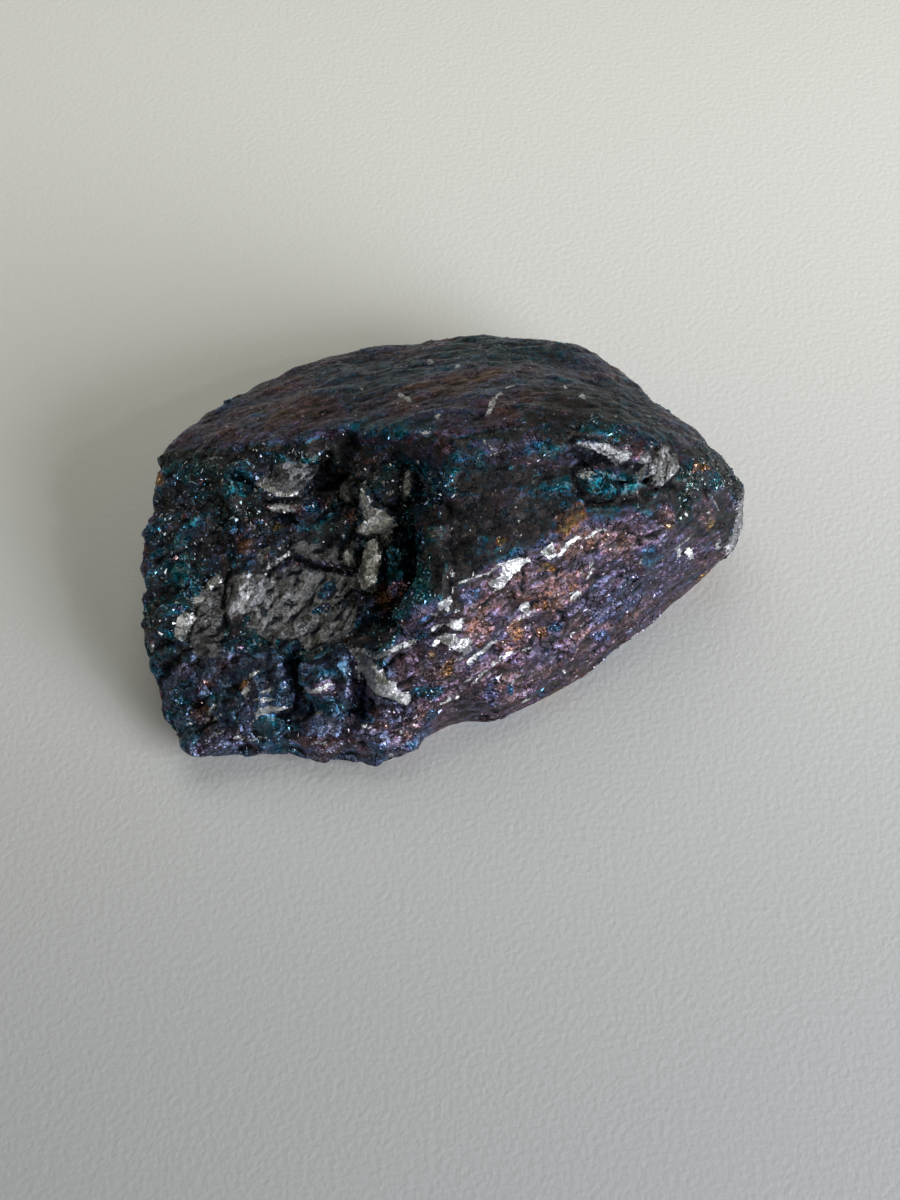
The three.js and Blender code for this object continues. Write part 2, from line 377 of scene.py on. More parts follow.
# %% [markdown]
# Where the stone was scratched, chipped or rubbed, the film is gone and silvery metal shows. Long
# scuffs run along the front ridge, a hackly patch shines at the right, and the fresh breaks in the
# hollow are grey and rough. Each is an outline or a stroke through a few pixels, with a shine from
# dull grey to bright. Only the distance to its edge is kept for the material, which cuts the ragged
# edge itself, finer than the points could hold it.

# %% Mark the bare metal on the front and the right end
BARE_OUTLINES = {
    # name: shine, outline
    "big chip": (1.0, [(484, 577), (490, 571), (495, 568), (501, 564), (508, 562), (515, 561), (521, 563),
        (527, 560), (526, 566), (521, 569), (517, 573), (512, 577), (509, 580), (505, 585), (502, 590),
        (497, 593), (491, 595), (495, 591), (490, 589), (486, 584), (494, 581), (500, 577), (503, 571),
        (501, 568), (493, 573), (488, 579)]),
    "cream chip": (0.9, [(540, 558), (541, 552), (545, 546), (549, 544), (552, 550), (554, 554),
        (550, 559), (545, 560)]),
    "round chip": (0.95, [(517, 610), (519, 605), (524, 604), (528, 608), (528, 613), (524, 615),
        (520, 614)]),
    "chain": (0.95, [(435, 605), (440, 601), (446, 600), (451, 597), (451, 604), (447, 608), (446, 613),
        (443, 612), (441, 608)]),
    "right lobe": (0.95, [(463, 619), (453, 621), (445, 624), (446, 628), (451, 630), (458, 631),
        (460, 627), (462, 624)]),
    "left lobe": (0.95, [(429, 637), (431, 631), (436, 627), (440, 625), (442, 626), (439, 630),
        (434, 634)]),
    "large chip": (1.0, [(430, 646), (434, 641), (439, 636), (445, 635), (453, 634), (457, 638),
        (467, 639), (470, 643), (467, 646), (470, 653), (465, 655), (461, 657), (459, 654), (453, 651),
        (447, 648), (444, 644), (440, 643), (434, 648)]),
    "long chip": (1.0, [(496, 639), (490, 646), (488, 650), (485, 656), (477, 661), (471, 667),
        (467, 669), (465, 666), (470, 661), (477, 656), (482, 650), (488, 643)]),
    "low sliver": (0.9, [(459, 684), (462, 679), (467, 676), (472, 677), (470, 680), (465, 683)]),
    "low chip": (0.9, [(471, 685), (476, 677), (479, 670), (482, 671), (484, 674), (478, 680), (473, 685)]),
    "end chip": (1.0, [(684, 553), (687, 551), (691, 556), (690, 561), (686, 561), (683, 557)]),
    "end fleck": (0.85, [(674, 554), (678, 552), (678, 558), (675, 560)]),
    "pale end": (0.50, [(741, 489), (745, 500), (742, 511), (739, 532), (732, 546), (727, 556),
        (716, 568), (721, 553), (728, 538), (733, 523), (737, 508)]),
    "cream wedge": (0.50, [(570, 445), (575, 443), (585, 445), (597, 445), (606, 445), (613, 449),
        (622, 452), (628, 456), (625, 461), (618, 464), (610, 464), (605, 459), (594, 454), (584, 452),
        (576, 450)]),
    "grey hackle": (0.40, [(627, 464), (635, 462), (640, 457), (646, 456), (648, 460), (642, 470),
        (638, 479), (634, 479), (634, 472), (630, 468)]),
    "bright hackle": (0.52, [(645, 475), (645, 467), (650, 462), (656, 456), (655, 451), (660, 449),
        (664, 451), (666, 456), (672, 459), (673, 464), (676, 470), (672, 476), (666, 482), (659, 488),
        (652, 488), (647, 484)]),
}
BARE_STROKES = [
    # shine, half width, path
    (0.9, 1.3, [(484, 577), (474, 580), (463, 584), (456, 586)]),
    (1.0, 1.8, [(555, 558), (560, 553), (565, 549), (569, 544), (574, 541)]),
    (0.9, 1.5, [(577, 541), (586, 541), (592, 538), (596, 534), (603, 531)]),
    (0.8, 1.4, [(589, 571), (591, 565)]),
    (0.9, 2.0, [(587, 581), (589, 576)]),
    (0.9, 1.4, [(569, 596), (574, 598), (579, 597)]),
    (0.9, 1.2, [(570, 601), (577, 598)]),
    (0.8, 1.2, [(531, 612), (524, 616), (515, 622)]),
    (0.8, 1.2, [(452, 589), (450, 598)]),
    (0.9, 1.8, [(438, 608), (438, 610)]),
    (0.9, 1.8, [(432, 615), (434, 615)]),
    (0.9, 1.8, [(453, 614), (455, 613)]),
    (0.9, 1.4, [(508, 654), (500, 658), (491, 663), (488, 667)]),
    (0.7, 2.4, [(456, 662), (461, 661)]),
    (0.8, 1.4, [(510, 684), (511, 679), (515, 676), (519, 675)]),
    (0.9, 1.4, [(438, 704), (448, 697)]),
    (0.9, 1.4, [(454, 701), (459, 696)]),
    (1.0, 2.2, [(520, 702), (525, 700)]),
    (0.9, 1.4, [(571, 636), (567, 641)]),
    (0.9, 1.3, [(560, 673), (561, 672)]),
    (0.7, 1.1, [(579, 631), (583, 628)]),
    (0.7, 1.2, [(520, 653), (528, 650)]),
    (0.8, 1.4, [(451, 578), (452, 577)]),
    (0.7, 1.2, [(669, 555), (677, 548)]),
    (0.8, 1.6, [(680, 546), (686, 542)]),
    (0.6, 1.0, [(705, 497), (711, 505), (716, 513)]),
    (0.6, 1.2, [(717, 543), (714, 551)]),
    (0.7, 1.0, [(576, 476), (585, 484), (592, 489)]),
    (0.8, 1.1, [(637, 565), (640, 560)]),
]
print("marks on the front and the right end:", len(BARE_OUTLINES) + len(BARE_STROKES))

# %% Mark the bare flakes and chips in the hollow, at the lower left and on the back slope
BARE_OUTLINES |= {
    "plate": (0.28, [(270, 478), (278, 466), (300, 462), (316, 464), (318, 472), (312, 482), (305, 491),
        (296, 497), (283, 498), (272, 494), (262, 489), (255, 486)]),
    "left flake": (0.40, [(336, 494), (338, 487), (346, 481), (349, 483), (353, 487), (355, 493),
        (353, 499), (349, 507), (344, 507), (338, 501)]),
    "upper slab": (0.86, [(364, 486), (367, 494), (371, 501), (371, 508), (375, 510), (380, 509),
        (385, 514), (388, 523), (388, 535), (386, 548), (382, 545), (380, 540), (375, 537), (368, 540),
        (363, 537), (357, 532), (360, 527), (365, 524), (364, 515), (361, 505), (362, 495)]),
    "lower slab": (0.95, [(371, 541), (376, 542), (379, 549), (381, 556), (380, 575), (378, 585),
        (374, 591), (369, 595), (364, 593), (362, 587), (361, 575), (362, 560), (363, 550), (366, 546)]),
    "right flake": (0.50, [(401, 480), (404, 474), (409, 473), (412, 487), (409, 500), (403, 503),
        (400, 497), (399, 489)]),
    "hackly step": (0.62, [(352, 544), (357, 546), (353, 556), (354, 566), (348, 570), (340, 563),
        (341, 555), (346, 548)]),
    "grey fleck": (0.38, [(259, 545), (266, 546), (272, 549), (266, 560), (260, 568), (256, 560)]),
    "streak": (0.92, [(262, 573), (268, 566), (275, 562), (284, 556), (291, 553), (290, 557), (283, 561),
        (275, 567), (268, 571), (264, 574)]),
    "floor": (0.40, [(232, 578), (246, 574), (258, 576), (268, 580), (282, 570), (296, 567), (310, 573),
        (325, 574), (345, 578), (355, 577), (358, 590), (350, 597), (340, 606), (334, 612), (345, 610),
        (356, 606), (357, 616), (352, 630), (344, 640), (330, 648), (312, 655), (302, 648), (290, 644),
        (272, 650), (262, 642), (254, 632), (240, 628), (228, 622), (224, 608), (226, 590)]),
    "grey band": (0.33, [(290, 548), (305, 545), (320, 547), (338, 552), (340, 562), (330, 566),
        (312, 564), (298, 558)]),
    "left mass": (0.33, [(203, 583), (210, 579), (221, 577), (224, 583), (222, 600), (225, 620),
        (222, 645), (219, 660), (195, 660), (188, 655), (186, 640), (192, 628), (193, 616), (190, 606),
        (198, 595)]),
    "left strip": (0.85, [(203, 584), (210, 580), (220, 578), (221, 583), (214, 589), (206, 592)]),
    "bright spot": (0.98, [(191, 603), (196, 599), (201, 599), (198, 604), (193, 606)]),
    "silvery patch": (0.85, [(176, 620), (183, 614), (191, 615), (193, 620), (188, 631), (184, 640),
        (178, 644), (174, 638), (174, 628)]),
    "crossed flake": (0.80, [(346, 648), (359, 650), (367, 653), (368, 658), (366, 661), (371, 665),
        (378, 668), (381, 674), (386, 681), (394, 684), (395, 690), (403, 695), (410, 700), (407, 708),
        (395, 705), (385, 697), (375, 695), (370, 687), (369, 679), (361, 677), (354, 679), (349, 676),
        (347, 671), (351, 666), (349, 660), (345, 655)]),
    "white bar": (1.0, [(368, 662), (375, 657), (387, 653), (397, 647), (401, 648), (397, 653),
        (387, 658), (375, 663)]),
    "cream bar": (0.75, [(401, 645), (416, 642), (415, 646), (407, 651), (402, 652)]),
    "sliver": (1.0, [(254, 715), (260, 710), (274, 707), (284, 709), (278, 714), (265, 717), (257, 720)]),
    "low white sliver": (0.95, [(304, 694), (307, 689), (320, 687), (334, 686), (325, 691), (315, 694)]),
    "white fleck": (0.95, [(242, 693), (246, 691), (251, 689), (251, 693), (247, 697), (243, 696)]),
    "back chip": (0.85, [(487, 408), (492, 404), (499, 398), (500, 401), (494, 406), (493, 411),
        (488, 419), (483, 420), (484, 415), (488, 411)]),
}
print("outlines of bare metal:", len(BARE_OUTLINES))

# %% Mark the bare streaks and flecks there
BARE_STROKES += [
    (1.0, 2.0, [(258, 487), (264, 490), (271, 493), (284, 498), (296, 495)]),
    (0.7, 2.2, [(272, 511), (281, 509), (292, 511)]),
    (0.8, 1.6, [(350, 476), (346, 483)]),
    (0.7, 1.2, [(400, 503), (397, 512)]),
    (0.6, 1.6, [(372, 481), (375, 477)]),
    (0.9, 1.0, [(382, 491), (383, 483)]),
    (0.6, 1.5, [(240, 590), (247, 582), (251, 577)]),
    (0.7, 1.8, [(240, 612), (246, 600), (250, 585)]),
    (0.55, 1.6, [(262, 625), (268, 606), (276, 590)]),
    (0.6, 1.8, [(272, 576), (279, 580), (284, 577)]),
    (0.55, 1.8, [(292, 612), (300, 592), (309, 578)]),
    (0.5, 1.6, [(300, 640), (308, 622), (318, 606)]),
    (0.6, 2.0, [(270, 628), (276, 630)]),
    (1.0, 1.4, [(215, 707), (210, 712), (208, 720), (205, 725)]),
    (0.8, 1.2, [(214, 722), (222, 716)]),
    (0.9, 1.6, [(190, 724), (191, 725)]),
    (0.8, 1.6, [(249, 680), (257, 674)]),
    (0.8, 1.4, [(262, 694), (270, 690)]),
    (0.7, 1.0, [(254, 704), (272, 700)]),
    (0.8, 1.0, [(257, 719), (250, 726)]),
    (0.5, 1.6, [(292, 715), (304, 719), (320, 715)]),
    (0.8, 0.9, [(234, 740), (240, 739), (246, 741), (252, 743), (265, 740)]),
    (0.8, 1.8, [(316, 744), (325, 746)]),
    (0.7, 0.9, [(208, 741), (225, 732)]),
    (0.9, 1.0, [(363, 727), (371, 727)]),
    (0.9, 1.8, [(399, 734), (401, 733)]),
    (0.9, 1.2, [(388, 758), (392, 755)]),
    (0.7, 1.0, [(411, 722), (415, 719)]),
    (0.8, 1.1, [(149, 652), (155, 646)]),
    (0.6, 1.2, [(213, 530), (222, 531)]),
    (0.8, 1.2, [(224, 482), (225, 484)]),
    (0.9, 1.8, [(428, 362), (429, 364)]),
    (0.9, 1.8, [(456, 368), (457, 370)]),
    (0.9, 1.4, [(421, 416), (421, 418)]),
    (0.9, 1.5, [(435, 421), (437, 421)]),
    (0.9, 1.7, [(420, 434), (426, 433)]),
    (0.9, 2.0, [(579, 399), (580, 402)]),
    (0.9, 1.3, [(562, 389), (563, 391)]),
    (0.9, 1.3, [(225, 427), (228, 429)]),
    (0.8, 1.2, [(398, 398), (410, 404)]),
    (0.6, 0.9, [(477, 438), (487, 446), (497, 454)]),
    (0.7, 1.0, [(361, 390), (362, 391)]),
    (0.7, 1.0, [(566, 403), (567, 404)]),
    (0.8, 1.0, [(505, 395), (512, 394)]),
    (0.8, 1.0, [(611, 420), (612, 421)]),
]
print("streaks and flecks of bare metal:", len(BARE_STROKES))

# %% Measure how deep a point lies in bare metal
PIXEL_REACH = 12.0
USUAL_SHINE = 0.9
PATCH_RIM = 1
STROKE_RIM = 0.5


def bare_depth(columns, rows):
    """How far each point lies inside bare metal, in pixels, and the shine of the patch it lies in."""
    depth = np.full(len(columns), -PIXEL_REACH)
    shine = np.full(len(columns), USUAL_SHINE)
    for patch_shine, outline in BARE_OUTLINES.values():
        reach = depth_inside(outline, columns, rows)
        inner = (reach > -PATCH_RIM) & (patch_shine > shine) | (reach > depth)
        shine = np.where(inner, patch_shine, shine)
        depth = np.maximum(depth, reach)
    for patch_shine, half_width, path in BARE_STROKES:
        reach = half_width - distance_to_path(path, columns, rows)
        shine = np.where((reach > depth) | (reach > -STROKE_RIM), patch_shine, shine)
        depth = np.maximum(depth, reach)
    return depth, shine


BIG_CHIP_MIDDLE = (510, 569)
print("depth and shine in the big chip:", bare_depth(*np.array(BIG_CHIP_MIDDLE)[:, None]))

# %% [markdown]
# The named cracks, splits and notches are carved into the skin, and the thin flakes of ore that
# stand in the hollow are raised out of it. Each is again a path or an outline of pixels, with its
# width in pixels and its depth in millimetres. A few spots that broke along one clean plane are kept
# smooth, and gaps that the solid's triangles bridge too widely are filled.

# %% Name the cracks and the flakes
CRACKS = [
    # half width in pixels, depth in millimetres, path
    (2.5, 0.35, [(610, 501), (620, 497), (630, 494), (655, 490)]),
    (1.8, 0.30, [(526, 566), (520, 572), (521, 584), (519, 593)]),
    (2.2, 0.45, [(654, 570), (664, 561), (673, 555)]),
    (1.6, 0.20, [(615, 539), (624, 530)]),
    (1.5, 0.18, [(624, 535), (640, 539)]),
    (1.5, 0.20, [(596, 545), (602, 541)]),
    (1.5, 0.18, [(611, 566), (618, 561)]),
    (1.4, 0.18, [(507, 595), (510, 600)]),
    (1.5, 0.20, [(502, 612), (508, 607)]),
    (1.4, 0.16, [(476, 594), (475, 600)]),
    (1.4, 0.16, [(483, 609), (489, 605)]),
    (1.6, 0.20, [(572, 559), (573, 567)]),
    (1.6, 0.20, [(555, 572), (553, 578)]),
    (2.8, 0.55, [(556, 617), (564, 619), (562, 626)]),
    (1.8, 0.25, [(428, 639), (442, 633), (456, 632)]),
    (3.5, 0.60, [(233, 477), (245, 486), (255, 492)]),
    (5.0, 0.80, [(262, 504), (285, 505), (305, 500), (330, 488)]),
    (7.0, 0.90, [(326, 458), (324, 470), (321, 482)]),
    (4.0, 0.70, [(357, 486), (358, 500), (357, 515)]),
    (3.0, 0.60, [(354, 484), (362, 483)]),
    (3.5, 0.70, [(372, 500), (380, 504), (390, 515), (392, 530), (390, 550)]),
    (3.0, 0.80, [(356, 537), (363, 543), (372, 539), (380, 546), (384, 556)]),
    (3.0, 0.80, [(359, 552), (358, 570), (360, 590)]),
    (4.0, 0.90, [(385, 556), (385, 575), (383, 590)]),
    (2.6, 0.55, [(268, 579), (280, 566), (290, 562), (300, 564), (310, 569), (325, 571), (350, 575)]),
    (2.2, 0.50, [(350, 594), (342, 603), (333, 612)]),
    (3.5, 0.60, [(230, 560), (226, 580), (222, 606)]),
    (3.0, 0.45, [(196, 612), (192, 628), (188, 642)]),
    (2.5, 0.50, [(342, 641), (350, 652)]),
    (4.5, 0.80, [(368, 650), (376, 645), (382, 640)]),
    (4.0, 0.80, [(382, 671), (390, 665), (399, 658)]),
    (2.5, 0.50, [(394, 688), (403, 682), (412, 677)]),
    (3.5, 0.60, [(338, 654), (345, 664), (340, 674), (346, 682)]),
    (3.5, 0.60, [(348, 684), (358, 689), (354, 697), (362, 702)]),
    (4.0, 0.65, [(281, 668), (289, 676), (281, 685), (292, 691), (285, 701)]),
    (2.2, 0.45, [(252, 700), (246, 708), (235, 720)]),
    (2.0, 0.35, [(240, 728), (241, 734), (236, 737)]),
    (2.0, 0.35, [(224, 735), (219, 738)]),
    (4.0, 0.50, [(230, 560), (232, 540), (236, 528)]),
    (3.0, 0.40, [(398, 508), (404, 504), (418, 500)]),
    (1.3, 0.28, [(649, 460), (653, 472), (650, 486)]),
    (1.3, 0.28, [(660, 451), (664, 466), (661, 484)]),
    (1.3, 0.24, [(668, 456), (671, 466), (668, 478)]),
    (1.2, 0.20, [(630, 464), (636, 470), (634, 478)]),
    (1.3, 0.22, [(584, 447), (598, 452), (612, 458)]),
    (6.0, 0.50, [(152, 652), (162, 645), (178, 647)]),
]
FLAKES = [
    # rise and gap below it in millimetres, how far it is flattened, which outline of bare metal
    (0.25, 0.00, 0.45, "plate"),
    (0.45, 0.30, 0.60, "left flake"),
    (0.55, 0.45, 0.70, "upper slab"),
    (0.65, 0.55, 0.70, "lower slab"),
    (0.50, 0.25, 0.60, "right flake"),
    (0.30, 0.20, 0.30, "hackly step"),
    (0.35, 0.30, 0.50, "left strip"),
    (0.45, 0.30, 0.60, "crossed flake"),
    (0.35, 0.20, 0.10, "bright hackle"),
    (0.30, 0.15, 0.20, "cream wedge"),
]
print("cracks:", len(CRACKS), "flakes:", len(FLAKES))

# %% Name the smooth spots and the filled gaps
SMOOTH_SPOTS = [
    # colour and crust of a spot that broke along one clean plane, and its outline
    ("teal", -0.35, [(226, 474), (234, 471), (240, 478), (248, 485), (254, 492), (249, 497), (243, 501),
        (238, 495), (232, 487)]),
    ("indigo", -0.15, [(255, 655), (268, 655), (280, 664), (282, 678), (268, 684), (256, 680), (250, 668)]),
    ("blue", -0.15, [(313, 660), (325, 657), (336, 668), (334, 682), (320, 682), (311, 672)]),
    ("teal", 0.34, [(584, 464), (606, 464), (634, 472), (642, 484), (604, 490), (590, 486)]),
    ("azure", -0.10, [(276, 514), (296, 514), (296, 524), (284, 528), (274, 522)]),
    ("indigo", -0.05, [(226, 668), (244, 664), (250, 676), (240, 688), (224, 690), (216, 680)]),
    ("teal", 0.0, [(252, 726), (268, 718), (286, 722), (282, 736), (262, 742)]),
    ("violet", 0.0, [(296, 722), (316, 716), (332, 724), (322, 738), (302, 740)]),
    ("teal", 0.10, [(162, 566), (178, 560), (190, 572), (184, 590), (170, 588)]),
]
FILLED_GAPS = [
    # outline of a gap too narrow for the solid's triangles, and how many millimetres its skin rises
    # by; the one that sinks is the rim beside the pit at the right end
    ([(270, 655), (308, 655), (306, 712), (272, 712)], 1.3),
    ([(334, 655), (372, 672), (372, 712), (338, 712)], 1.1),
    ([(568, 460), (590, 459), (640, 466), (646, 478), (634, 493), (606, 501), (590, 499), (576, 482)], 2.3),
    ([(570, 478), (588, 494), (606, 496), (640, 492), (650, 500), (640, 508), (606, 511), (584, 508),
        (568, 494)], -0.9),
    ([(654, 504), (668, 500), (672, 520), (668, 538), (656, 536)], 0.5),
    ([(690, 498), (704, 494), (714, 505), (712, 530), (694, 534)], 0.6),
    ([(388, 515), (440, 500), (450, 560), (446, 605), (404, 640), (384, 600)], 1.7),
]
print("smooth spots:", len(SMOOTH_SPOTS), "filled gaps:", len(FILLED_GAPS))

# %% Weigh the faces at every point
WANDER = 6
FACE_BORDER = 7
FLOOR_BORDER = 4

wander = noise_at(points, 5.0, 31, octaves=4)
wander_across = noise_at(points, 5.0, 57, octaves=4)
ragged_column = column + WANDER * wander
ragged_row = row + WANDER * wander_across


def face_weight(outline, border=FACE_BORDER):
    """1 on a face of the stone and 0 off it, with a ragged border that many pixels wide."""
    depth = depth_inside(outline, ragged_column, ragged_row)
    return smoothstep(-border, border, depth) * seen


front = face_weight(STEEP_FRONT)
hollow = face_weight(HOLLOW)
lower_left = face_weight(LOWER_LEFT)
plateau = face_weight(PLATEAU)
floor_of_hollow = face_weight(FLOOR, FLOOR_BORDER)
walls = np.clip(hollow - floor_of_hollow, 0, 1)
back = np.clip(1 - front - hollow - lower_left - plateau, 0, 1)
print("shares:", [round(float(w.mean()), 3) for w in (front, hollow, lower_left, plateau, back)])

# %% [markdown]
# Now the carving. The back slope is combed by striations that bend with the crest, the steep front
# is scored along its ridge, the floor of the hollow is split into ribs like bark, and its walls are
# tilted planes that meet at creases, as brittle ore breaks. All of it dies away at the underside,
# which stays flat because the stone rests on it.

# %% Carve the relief of each face
CREST_CENTRE = np.array([0.0, -82.0])
CREST_RADIUS = 90
RIDGE_LINE = (0.90, 0.43, 0.05)
FLOOR_GRAIN = (0.40, 0.86, 0.30)
FLOOR_GROOVE = 0.18


def bent_with_crest(places, stretch):
    """Places in curved coordinates that follow the crest, so that noise read there bends with it."""
    from_centre = places[:, :2] - CREST_CENTRE
    reach = np.hypot(from_centre[:, 0], from_centre[:, 1])
    turn = np.arctan2(from_centre[:, 0], from_centre[:, 1])
    return np.column_stack([turn * CREST_RADIUS / stretch, reach, places[:, 2]])


swept = bent_with_crest(points, stretch=2.2)
scored = drawn_out(points, RIDGE_LINE, stretch=1.5)
ribbed = drawn_out(points, FLOOR_GRAIN, stretch=5)
RELIEF = [
    # where, height in millimetres, kind of noise, read at, size in millimetres, start, octaves
    (1, 0.60, broken_at, points, 9.0, 5, 2),
    (1, 0.10, broken_at, points, 1.0, 6, 1),
    (back, 0.05, noise_at, swept, 1.4, 11, 1),
    (back, 0.11, noise_at, swept, 3.2, 13, 1),
    (back, 0.14, broken_at, swept, 1.9, 15, 3),
    (back, 0.20, broken_at, points, 2.6, 16, 3),
    (plateau, 0.34, broken_at, points, 2.2, 17, 3),
    (front, 0.16, broken_at, scored, 1.3, 23, 3),
    (front, 0.33, broken_at, points, 2.4, 25, 3),
    (floor_of_hollow, 0.34, broken_at, ribbed, 1.2, 29, 3),
    (floor_of_hollow, 0.26, broken_at, points, 2.0, 39, 3),
    (walls, 0.95, broken_at, points, 3.6, 41, 3),
    (walls, 0.30, broken_at, points, 1.3, 43, 1),
    (lower_left, 0.80, broken_at, points, 3.4, 47, 3),
    (lower_left, 0.42, broken_at, points, 1.7, 49, 1),
]
carving = -FLOOR_GROOVE * floor_of_hollow * np.abs(noise_at(ribbed, 2.0, 37))
for where, relief, kind, places, size, start, octaves in RELIEF:
    carving += where * relief * kind(places, size, start, octaves)
print("carving from", carving.min().round(2), "to", carving.max().round(2), "mm")

# %% Raise the flakes and open the cracks
# Each pair says how many pixels inside an outline a change starts and ends. Outside is negative.
SPOT_EDGE = (-2, 3)
FILL_EDGE = (-3, 6)
FLAKE_EDGE = (-0.8, 1.6)
GAP_OUTER_SIDE = (-7, -2.5)
GAP_INNER_SIDE = (-0.2, -1.4)
CRACK_SOFTNESS = 0.8
SPOT_FLATNESS = 0.8
JAG = 3.0

jagged = broken_at(points, 2.4, 71)
jagged_across = broken_at(points, 2.4, 73)
near_column = column + JAG * jagged
near_row = row + JAG * jagged_across
gap_opening = smoothstep(-0.5, 0.3, broken_at(points, 2.2, 99))

for *_, outline in SMOOTH_SPOTS:
    smooth = smoothstep(*SPOT_EDGE, depth_inside(outline, near_column, near_row)) * seen
    carving *= 1 - SPOT_FLATNESS * smooth
for outline, rise in FILLED_GAPS:
    carving += rise * smoothstep(*FILL_EDGE, depth_inside(outline, near_column, near_row)) * seen
for rise, gap, flattened, name in FLAKES:
    depth = depth_inside(BARE_OUTLINES[name][1], near_column, near_row)
    top = smoothstep(*FLAKE_EDGE, depth) * seen
    below = smoothstep(*GAP_OUTER_SIDE, depth) * smoothstep(*GAP_INNER_SIDE, depth) * seen
    carving = carving * (1 - flattened * top) + rise * top - gap * gap_opening * below
for half_width, depth, path in CRACKS:
    away = distance_to_path(path, near_column, near_row)
    carving -= depth * smoothstep(half_width + CRACK_SOFTNESS, 0, away) * seen
print("carving from", carving.min().round(2), "to", carving.max().round(2), "mm")

# %% Move the skin
FLAT_FOOT = 0.3
FULL_RELIEF = 2.5
ON_THE_BOARD = 0.001
SHARPEST_SMOOTH = math.radians(28)


def fitted(places, low, high):
    """The places, scaled a little on each axis to fill the box between these two corners."""
    old_low, old_high = places.min(0), places.max(0)
    return (places - old_low) / (old_high - old_low) * (high - low) + low


carved = points + normals * (carving * smoothstep(FLAT_FOOT, FULL_RELIEF, points[:, 2]))[:, None]
carved[:, 2] = np.maximum(carved[:, 2], 0)
carved = fitted(carved, np.array(cad_low) / MM, np.array(cad_high) / MM)
carved[points[:, 2] < ON_THE_BOARD, 2] = 0
write_points(lump, carved)
points, normals = carved, read_normals(lump)
only(lump)
bpy.ops.object.shade_smooth_by_angle(angle=SHARPEST_SMOOTH)
print("carved box:", points.min(0).round(1), points.max(0).round(1))

# %% [markdown]
# Hollows on a real stone hold dirt and keep their dark film, while its edges are rubbed bright. Here the
# hollows also get painted shade, darker than their crust alone. How far each point stands above or below
# its surroundings is found by averaging the skin over its neighbours a few times and comparing.

# %% Measure edges and hollows
edge_ends = np.empty(len(lump.data.edges) * 2, int)
lump.data.edges.foreach_get("vertices", edge_ends)
first_end, second_end = edge_ends.reshape(-1, 2).T
neighbour_count = np.bincount(edge_ends, minlength=len(points))[:, None]


def averaged(values, passes):
    """Values at the points, blurred over the skin by taking each point's neighbours' average."""
    for _ in range(passes):
        total = np.column_stack([
            np.bincount(first_end, values[second_end, axis], len(values))
            + np.bincount(second_end, values[first_end, axis], len(values)) for axis in range(3)])
        values = 0.5 * values + 0.5 * total / neighbour_count
    return values


fine_height = np.einsum("ij,ij->i", points - averaged(points, passes=6), normals)
broad_height = np.einsum("ij,ij->i", points - averaged(points, passes=60), normals)
print("height spread: fine", fine_height.std().round(3), "broad", broad_height.std().round(3))

# %% [markdown]
# The colours are interference colours of a thin oxide film, so they are painted as one number: the
# film's thickness. Thin film is gold, then copper, rose, violet, blue and teal as it grows. A second
# number says how much dull brown-black crust lies over it, and a third how much of the ore stands in
# bright crystal faces. Each face of the stone starts with its own three numbers, broken up into
# patches, and the side that the photograph doesn't show gets broader patches of the same colours.

# %% Name the colours by the thickness of the film and paint the faces
FILM = {
    "gold": 0.03, "orange": 0.20, "copper": 0.29, "rose": 0.37, "magenta": 0.45, "mauve": 0.455,
    "purple": 0.52, "violet": 0.60, "indigo": 0.65, "blue": 0.69, "azure": 0.77, "teal": 0.85,
    "green": 0.93, "slate": 1.0,
}
FACES = [
    # where, colour, crust, crystal
    (back, "purple", 0.46, 0.10),
    (plateau, "teal", 0.83, 0.08),
    (front, "mauve", 0.58, 0.20),
    (hollow, "azure", 0.74, 0.46),
    (lower_left, "indigo", 0.02, 0.24),
]
PATCHES_OF_COLOUR = [(front, 0.12), (hollow, 0.22), (lower_left, 0.20), (plateau, 0.16)]
PATCHES_OF_CRUST = [(front, 0.18), (walls, 0.50), (lower_left, 0.40), (plateau, 0.10), (back, 0.12)]
COLOUR_DRIFT = 0.07
BACK_STREAKS = 0.08
BACK_PATCHES = 0.22
RUST_LEVEL = (0.36, 0.62)
RUST_AT_LOWER_LEFT = 0.6
HIDDEN_COLOUR = 0.38
HIDDEN_CRUST = 0.22
HIDDEN_CRYSTAL = 0.6
RUST_CRUST = 0.10

hidden = 1 - seen
broad_patches = noise_at(points, 9.0, 81, octaves=3)
middle_patches = broken_at(points, 4.5, 87)
dark_patches = broken_at(points, 3.0, 89)
film = np.zeros(len(points))
crust = np.zeros(len(points))
crystal = np.zeros(len(points))
total_weight = sum(weight for weight, *_ in FACES)
for weight, colour, face_crust, face_crystal in FACES:
    film += weight / total_weight * FILM[colour]
    crust += weight / total_weight * face_crust
    crystal += weight / total_weight * face_crystal
film += COLOUR_DRIFT * noise_at(points, 6.0, 61, octaves=4)
film += back * (BACK_STREAKS * noise_at(swept, 2.6, 67) + BACK_PATCHES * broken_at(points, 4.0, 69))
film += sum(strength * where for where, strength in PATCHES_OF_COLOUR) * middle_patches
crust += sum(strength * where for where, strength in PATCHES_OF_CRUST) * dark_patches
rusty = smoothstep(*RUST_LEVEL, broken_at(points, 3.6, 97))
rusty = rusty * np.clip(walls + RUST_AT_LOWER_LEFT * lower_left, 0, 1)
film += (FILM["copper"] - film) * rusty
crust += RUST_CRUST * rusty
film += hidden * HIDDEN_COLOUR * broad_patches
crust -= hidden * HIDDEN_CRUST * noise_at(points, 8.0, 83, octaves=3)
crystal += hidden * HIDDEN_CRYSTAL * smoothstep(0.1, 0.5, noise_at(points, 7.0, 85, octaves=2))
print("film from", film.min().round(2), "to", film.max().round(2))
